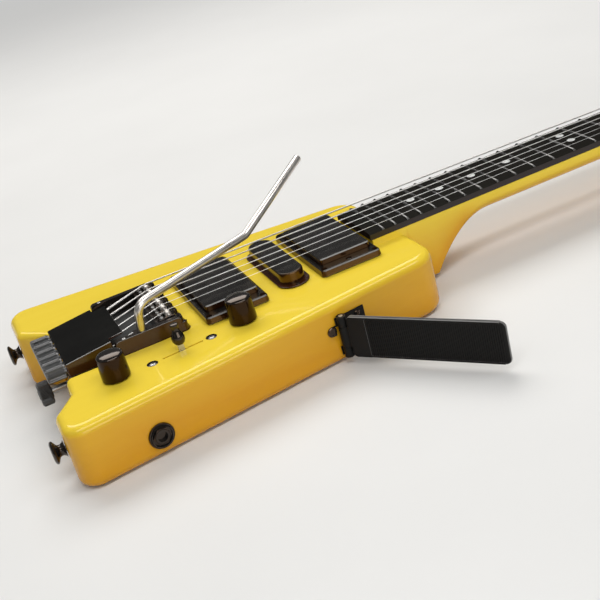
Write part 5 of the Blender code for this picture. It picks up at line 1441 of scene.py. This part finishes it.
def buildHumbucker(name, x, node):
    piece = prism(name + "Cover", roundRectangle(x, 0, humbucker["length"], humbucker["width"],
                                                 humbucker["corner"], 8),
                  top + humbucker["low"], top + humbucker["high"])
    bevelled(piece, 0.0007, 1, 60)
    shaded(piece, 32)
    # Painted reflection of the yellow body on the cover's upright sides, and a painted highlight on its
    # treble chamfer
    sidesIn(clothed(piece, finish["pickupPlastic"]), finish["paintedSideReflection"], finish["paintedChamferHighlight"])
    return fitted(piece, "guitar_body", "satin_plastic", node)


def buildMiddle():
    x = middlePickup
    low, high = single["flangeHeights"]
    shell = prism("middleCover", roundRectangle(x, 0, *single["plan"], 12), top + single["low"],
                  top + single["high"])
    bevelled(shell, 0.0012, 4, 60)
    flange = prism("middleFlange", roundRectangle(x, 0, *single["flange"], 12), top + low, top + high)
    bevelled(flange, 0.0004, 3, 60)
    shaded(shell, 32)
    shaded(flange, 32)
    # Painted reflection of the yellow body on the cover's upright sides; the flange's brown is painted
    # reflection of the yellow body and painted shade of the rout round it
    sidesIn(clothed(shell, finish["pickupPlastic"]), finish["paintedSideReflection"])
    pieces = [shell, clothed(flange, finish["paintedBrownReflection"])]
    pieces += [crossScrew("flangeScrew", (x, side * single["screwY"], top + single["screwZ"]))
               for side in (-1, 1)]
    return fitted(merged("middlePickup", pieces), "guitar_body", "satin_plastic", "middle_pickup")


buildRing("bridgePickup", bridgePickup, "bridge_pickup_ring")
buildRing("neckPickup", neckPickup, "neck_pickup_ring")
buildHumbucker("bridgePickup", bridgePickup, "bridge_pickup")
buildHumbucker("neckPickup", neckPickup, "neck_pickup")
buildMiddle()
print("pickups made")


knob = {"height": 0.0188, "crown": 0.0026, "crownRadius": 0.0086, "crownSteps": 10,
        "side": [(0.0089, 0.0140), (0.0092, 0.0060), (0.0093, 0.0018), (0.0091, 0.0009), (0.0086, 0.0006),
                 (0.0066, 0.0006), (0.0066, 0.0032), (0.0033, 0.0032), (0.0033, 0.0140), (0, 0.0140)]}
tip = {"profile": [(0, 0.0195), (0.0020, 0.0195), (0.0025, 0.0192), (0.0027, 0.0186), (0.0026, 0.0178),
                   (0.0023, 0.0168), (0.0024, 0.0150), (0.0031, 0.0130), (0.0040, 0.0112), (0.0044, 0.0094),
                   (0.0043, 0.0076), (0.0036, 0.0060), (0.0027, 0.0051), (0, 0.0050)],
       "socket": ((-0.0023, -0.0009, -0.01), (0.0023, 0.0009, 0.0140)),
       "cup": [(0.0023, 0.0), (0.0023, 0.0006), (0.0033, 0.0014), (0.0036, 0.0013), (0.0036, 0.0),
               (0.0023, 0.0)]}
jackRing = {"profile": [(0.0050, 0.0003), (0.0086, 0.0003), (0.0086, 0.0010), (0.0082, 0.0017),
                        (0.0079, 0.0018), (0.0077, 0.0015), (0.0075, 0.0015), (0.0073, 0.0022),
                        (0.0069, 0.0025), (0.0065, 0.0022), (0.0064, 0.0010), (0.0050, 0.0010),
                        (0.0050, 0.0003)],
            "nut": 0.0061, "nutLow": 0.0010, "nutHigh": 0.0023}
plate = {"margin": 0.004, "thick": 0.002, "rows": (-0.062, -0.004, 0.054), "innerY": -0.0467,
         "wallGap": 0.0135, "sink": 0.0024}


def buildKnob(name, place, bodyName, node):
    profile = [(0, knob["height"])]
    for step in range(1, knob["crownSteps"] + 1):
        angle = math.radians(90 * step / knob["crownSteps"])
        profile.append((knob["crownRadius"] * math.sin(angle) ** 0.9,
                        knob["height"] - knob["crown"] * (1 - math.cos(angle))))
    piece = lathe(name, profile + knob["side"], (*place, top), (0, 0, 1), 72)
    clothed(piece, finish["glossBlackPlastic"])
    # Painted reflection of the yellow body on the knob's upright side
    sidesIn(piece, finish["paintedKnobReflection"], finish["glossBlackPlastic"])
    shaded(piece, 40)
    return fitted(piece, bodyName, "black_plastic", node)


def buildSelector():
    piece = lathe("selectorTip", tip["profile"], (0, 0, 0), (0, 0, 1), 48)
    cutBy(piece, block("socketCut", *tip["socket"]))
    piece.data.transform(Matrix.Translation((*selector["place"], top))
                         @ Matrix.Rotation(math.radians(selector["turn"]), 4, "Z"))
    shaded(piece, 40)
    fitted(clothed(piece, finish["glossBlackPlastic"]), "selector", "black_plastic", "selector_tip")
    screws = []
    for x, y in selector["screws"]:
        place = (x, y, top - selector["screwDeep"])
        screws.append(crossScrew("selectorScrew", place, made=finish["brightSteel"]))
        cup = lathe("screwCup", tip["cup"], place, (0, 0, 1), 32)
        screws.append(clothed(shaded(cup, 30), finish["glossBlackPlastic"]))
    fitted(merged("selectorScrews", screws), "guitar_body", "steel")


# A ring with a hexagon nut inside it, round the open socket
def buildJack():
    face = sideFace(jack["x"], jack["z"])
    ring = lathe("jackRing", jackRing["profile"], face, outward, 64)
    nut = prism("jackNut", hexagonOf(jackRing["nut"]), jackRing["nutLow"], jackRing["nutHigh"])
    bevelled(nut, 0.0003, 2)
    cutBy(nut, rod("nutCut", (0, 0, -0.01), (0, 0, 0.01), jack["bore"]))
    nut.data.transform(standing(face, outward))
    shaded(ring, 35)
    shaded(nut, 30)
    pieces = [clothed(ring, finish["glossBlackPlastic"]), clothed(nut, finish["blackenedMetal"])]
    return fitted(merged("jackRingAndNut", pieces), "guitar_body", "black_metal", "output_jack_nut")


def buildCavityCover():
    piece = prism("cavityPlate", cavityOutline(plate["margin"]), 0.0, plate["thick"])
    bevelled(piece, 0.0003, 2, 60)
    places = []
    for x in plate["rows"]:
        places += [(x, plate["innerY"]), (x, -sideAt(x) + plate["wallGap"])]
    cutBy(piece, *[rod("plateCut", (x, y, -0.01), (x, y, 0.0007), plate["sink"], 24) for x, y in places])
    shaded(piece, 32)
    pieces = [clothed(piece, finish["pickupPlastic"])]
    pieces += [crossScrew("cavityScrew", (x, y, 0.0009), (0, 0, -1)) for x, y in places]
    return fitted(merged("cavityPlateAndScrews", pieces), "guitar_body", "satin_plastic",
                  "control_cavity_cover")


buildKnob("volumeKnob", volumePlace, "volume_control", "volume_knob")
buildKnob("toneKnob", tonePlace, "tone_control", "tone_knob")
buildSelector()
buildJack()
buildCavityCover()
print("controls made")


leg = {"x": 0.0955, "open": 51.4, "pinOut": 0.0035, "start": 0.0041, "end": 0.1113, "low": 0.0047,
       "high": 0.0344, "core": 0.00135, "thick": 0.00175, "rootEnd": 0.0170, "rimWide": 0.0016,
       "rimStart": 0.016, "rimEnd": 0.1075,
       "ribs": 62, "ribStart": 0.0186, "ribStep": 0.00147, "ribHalf": 0.0005, "knuckle": (0.0122, 0.0268),
       "knuckleRadius": 0.0032}
bracket = {"leaf": ((-0.0036, 0.0022, 0.0059), (0.019, 0.0032, 0.0332)), "pin": 0.0015,
           "strip": ((-0.0071, 0.0023, 0.0211), (-0.0030, 0.0032, 0.0279)),
           "knuckles": {"knuckleLow": (0.0047, 0.0119), "knuckleHigh": (0.0271, 0.0344)},
           "boss": [(0, -0.0010), (0.0034, -0.0010), (0.0034, -0.0001), (0.0030, 0.0004), (0.0020, 0.0005),
                    (0.0019, 0.0001), (0, 0.0001)],
           "bossPlace": (-0.0071, 0.0022, 0.0245), "screwX": 0.0135, "screwZ": (0.0095, 0.0296)}
headpiece = {"start": 0.6483, "end": 0.674, "half": 0.0215, "low": top - 0.009, "high": top + 0.0155,
             "slotEnd": 0.668, "gap": 0.0002, "well": 0.0024, "screwY": 0.012}
legAxis = sideFace(leg["x"], 0.0, leg["pinOut"])
legPlace = Matrix.Translation(legAxis) @ Matrix.Rotation(math.radians(-leg["open"]), 4, "Z")
bracketPlace = Matrix.Translation(legAxis) @ Matrix.Rotation(math.atan(body["taper"]), 4, "Z")


def buildStrapButton(name, side, node):
    place = (body["tail"], side * button["y"], button["z"])
    piece = clothed(lathe(name, button["profile"], place, (-1, 0, 0), 48), finish["glossBlackPlastic"])
    shaded(piece, 40)
    return fitted(piece, "guitar_body", "black_metal", node)


# A flat plate with rounded corners, a smooth root and fine upright ribs on both faces
def buildLeg():
    low, high, thick, core, start = (leg[key] for key in ("low", "high", "thick", "core", "start"))

    def slab(name, corners, reach, width):
        return bevelled(prism(name, arcCorners(corners, 8), -reach, reach, "Y"), width, 4, 60)

    end, root, rimStart, rimEnd = leg["end"], leg["rootEnd"], leg["rimStart"], leg["rimEnd"]
    flats = [slab("legPlate", [(start, low, 0.003), (end, low, 0.004), (end, high, 0.004),
                               (start, high, 0.003)], core, 0.0010),
             slab("legRoot", [(start, low, 0.003), (root, low, 0.0004), (root, high, 0.0004),
                              (start, high, 0.003)], thick, 0.0007)]
    for a, b in ((low, low + leg["rimWide"]), (high - leg["rimWide"], high)):
        flats.append(slab("legRim", [(rimStart, a, 0), (rimEnd, a, 0), (rimEnd, b, 0), (rimStart, b, 0)],
                          thick, 0.0007))
    for piece in flats:
        clothed(shaded(piece, 32), finish["legPlastic"])
        # The leg's edges take a lighter grey, a painted highlight
        facesIn(piece, [finish["paintedEdgeHighlight"]], lambda face: abs(face.normal.y) < 0.8)
    ribs = []
    for side in (-1, 1):
        wide, x = leg["ribHalf"], leg["ribStart"]
        section = [(x - wide, side * core * 0.9), (x + wide, side * core * 0.9),
                   (x + wide * 0.5, side * thick), (x - wide * 0.5, side * thick)]
        unit = prism("ribUnit", section, low + 0.0012, high - 0.0012)
        ribs.append(grown("ribs", rowCopies, unit, finish["legPlastic"],
                          {"Count": leg["ribs"], "Step X": leg["ribStep"], "Step Y": 0.0, "Step Z": 0.0}))
    under, over = leg["knuckle"]
    strap = block("legStrap", (0.0, -0.00145, under), (0.0070, 0.00145, over))
    joinedTo(strap, rod("legKnuckle", (0, 0, under), (0, 0, over), leg["knuckleRadius"], 40))
    cutBy(strap, rod("legBore", (0, 0, 0.0), (0, 0, 0.04), 0.0018))
    clothed(shaded(strap, 35), finish["legPlastic"])
    piece = merged("legPlateWithRibs", flats[:1] + [strap] + flats[1:] + ribs)
    piece.data.transform(legPlace)
    return fitted(piece, "leg", "satin_plastic", "leg_rest")


def buildBracket():
    leaf = bevelled(block("leaf", *bracket["leaf"]), 0.0003, 2, 60)
    joinedTo(leaf, block("strip", *bracket["strip"]))
    cutBy(leaf, block("knuckleCut", (-0.0041, -0.02, 0.0119), (0.0041, 0.02, 0.0271)))
    joinedTo(leaf, *[rod(name, (0, 0, low), (0, 0, high), leg["knuckleRadius"], 40)
                     for name, (low, high) in bracket["knuckles"].items()])
    clothed(shaded(leaf, 35), finish["legPlastic"])
    pin = clothed(rod("pin", (0, 0, 0.0045), (0, 0, 0.0346), bracket["pin"], 24), finish["brightSteel"])
    boss = lathe("boss", bracket["boss"], bracket["bossPlace"], (0, -1, 0), 40)
    shaded(pin, 40, False)
    clothed(shaded(boss, 35), finish["blackenedMetal"])
    screws = [crossScrew("bracketScrew", (bracket["screwX"], bracket["leaf"][0][1] + 0.0002, z), (0, -1, 0))
              for z in bracket["screwZ"]]
    piece = merged("legBracket", [leaf, pin, boss] + screws)
    piece.data.transform(bracketPlace)
    return fitted(piece, "guitar_body", "black_metal", "leg_rest_bracket")


# A block that takes the strings' far ends, each ball in a well behind its slot
def buildHeadpiece():
    start, end, gap = headpiece["start"], headpiece["end"], headpiece["gap"]
    head = block("headBlock", (start, -headpiece["half"], headpiece["low"]),
                 (end, headpiece["half"], headpiece["high"]))
    bevelled(head, 0.0018, 4, 60)
    z = strings["nutZ"]
    cuts, balls = [], []
    for index, thin in enumerate(strings["radii"]):
        y = offsetOf(index) * strings["nutPitch"]
        cuts.append(block("slotCut", (start - 0.01, y - thin - gap, z - thin - gap),
                          (headpiece["slotEnd"], y + thin + gap, 0.08)))
        cuts.append(rod("wellCut", (strings["endX"], y, z - 0.0021), (strings["endX"], y, 0.08),
                        headpiece["well"], 24))
        balls.append(ballAt("headBall", Vector((strings["endX"], y, z))))
    cutBy(head, *cuts)
    clothed(shaded(head, 32), finish["powderedMetal"])
    screws = [capScrew("headScrew", (end - 0.0004, y, top + 0.001), (1, 0, 0))
              for y in (-headpiece["screwY"], headpiece["screwY"])]
    return fitted(merged("headBlockUnit", [head] + balls + screws), "guitar_body", "black_metal", "headpiece")


buildStrapButton("bassStrapButton", 1, "strap_button_bass")
buildStrapButton("trebleStrapButton", -1, "strap_button_treble")
buildLeg()
buildBracket()
buildHeadpiece()
print("leg rest and headpiece made")


# CAD pieces whose shape is right keep it and get a finish with detail
kept = {"brightSteel": ["truss_rod", "volume_pot", "tone_pot", "volume_pot_shaft", "tone_pot_shaft",
                        "selector_switch", "selector_lever", "spring_anchor", "tremolo_spring"]
        + ["tuner_jaw_%d" % (index + 1) for index in range(6)],
        "polishedChrome": ["pivot_post_bass", "pivot_post_treble"],
        "glossBlackPlastic": ["output_jack"]}
for name, nodes in kept.items():
    for node in nodes:
        clothed(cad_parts[node], finish[name])
print("kept pieces refinished")
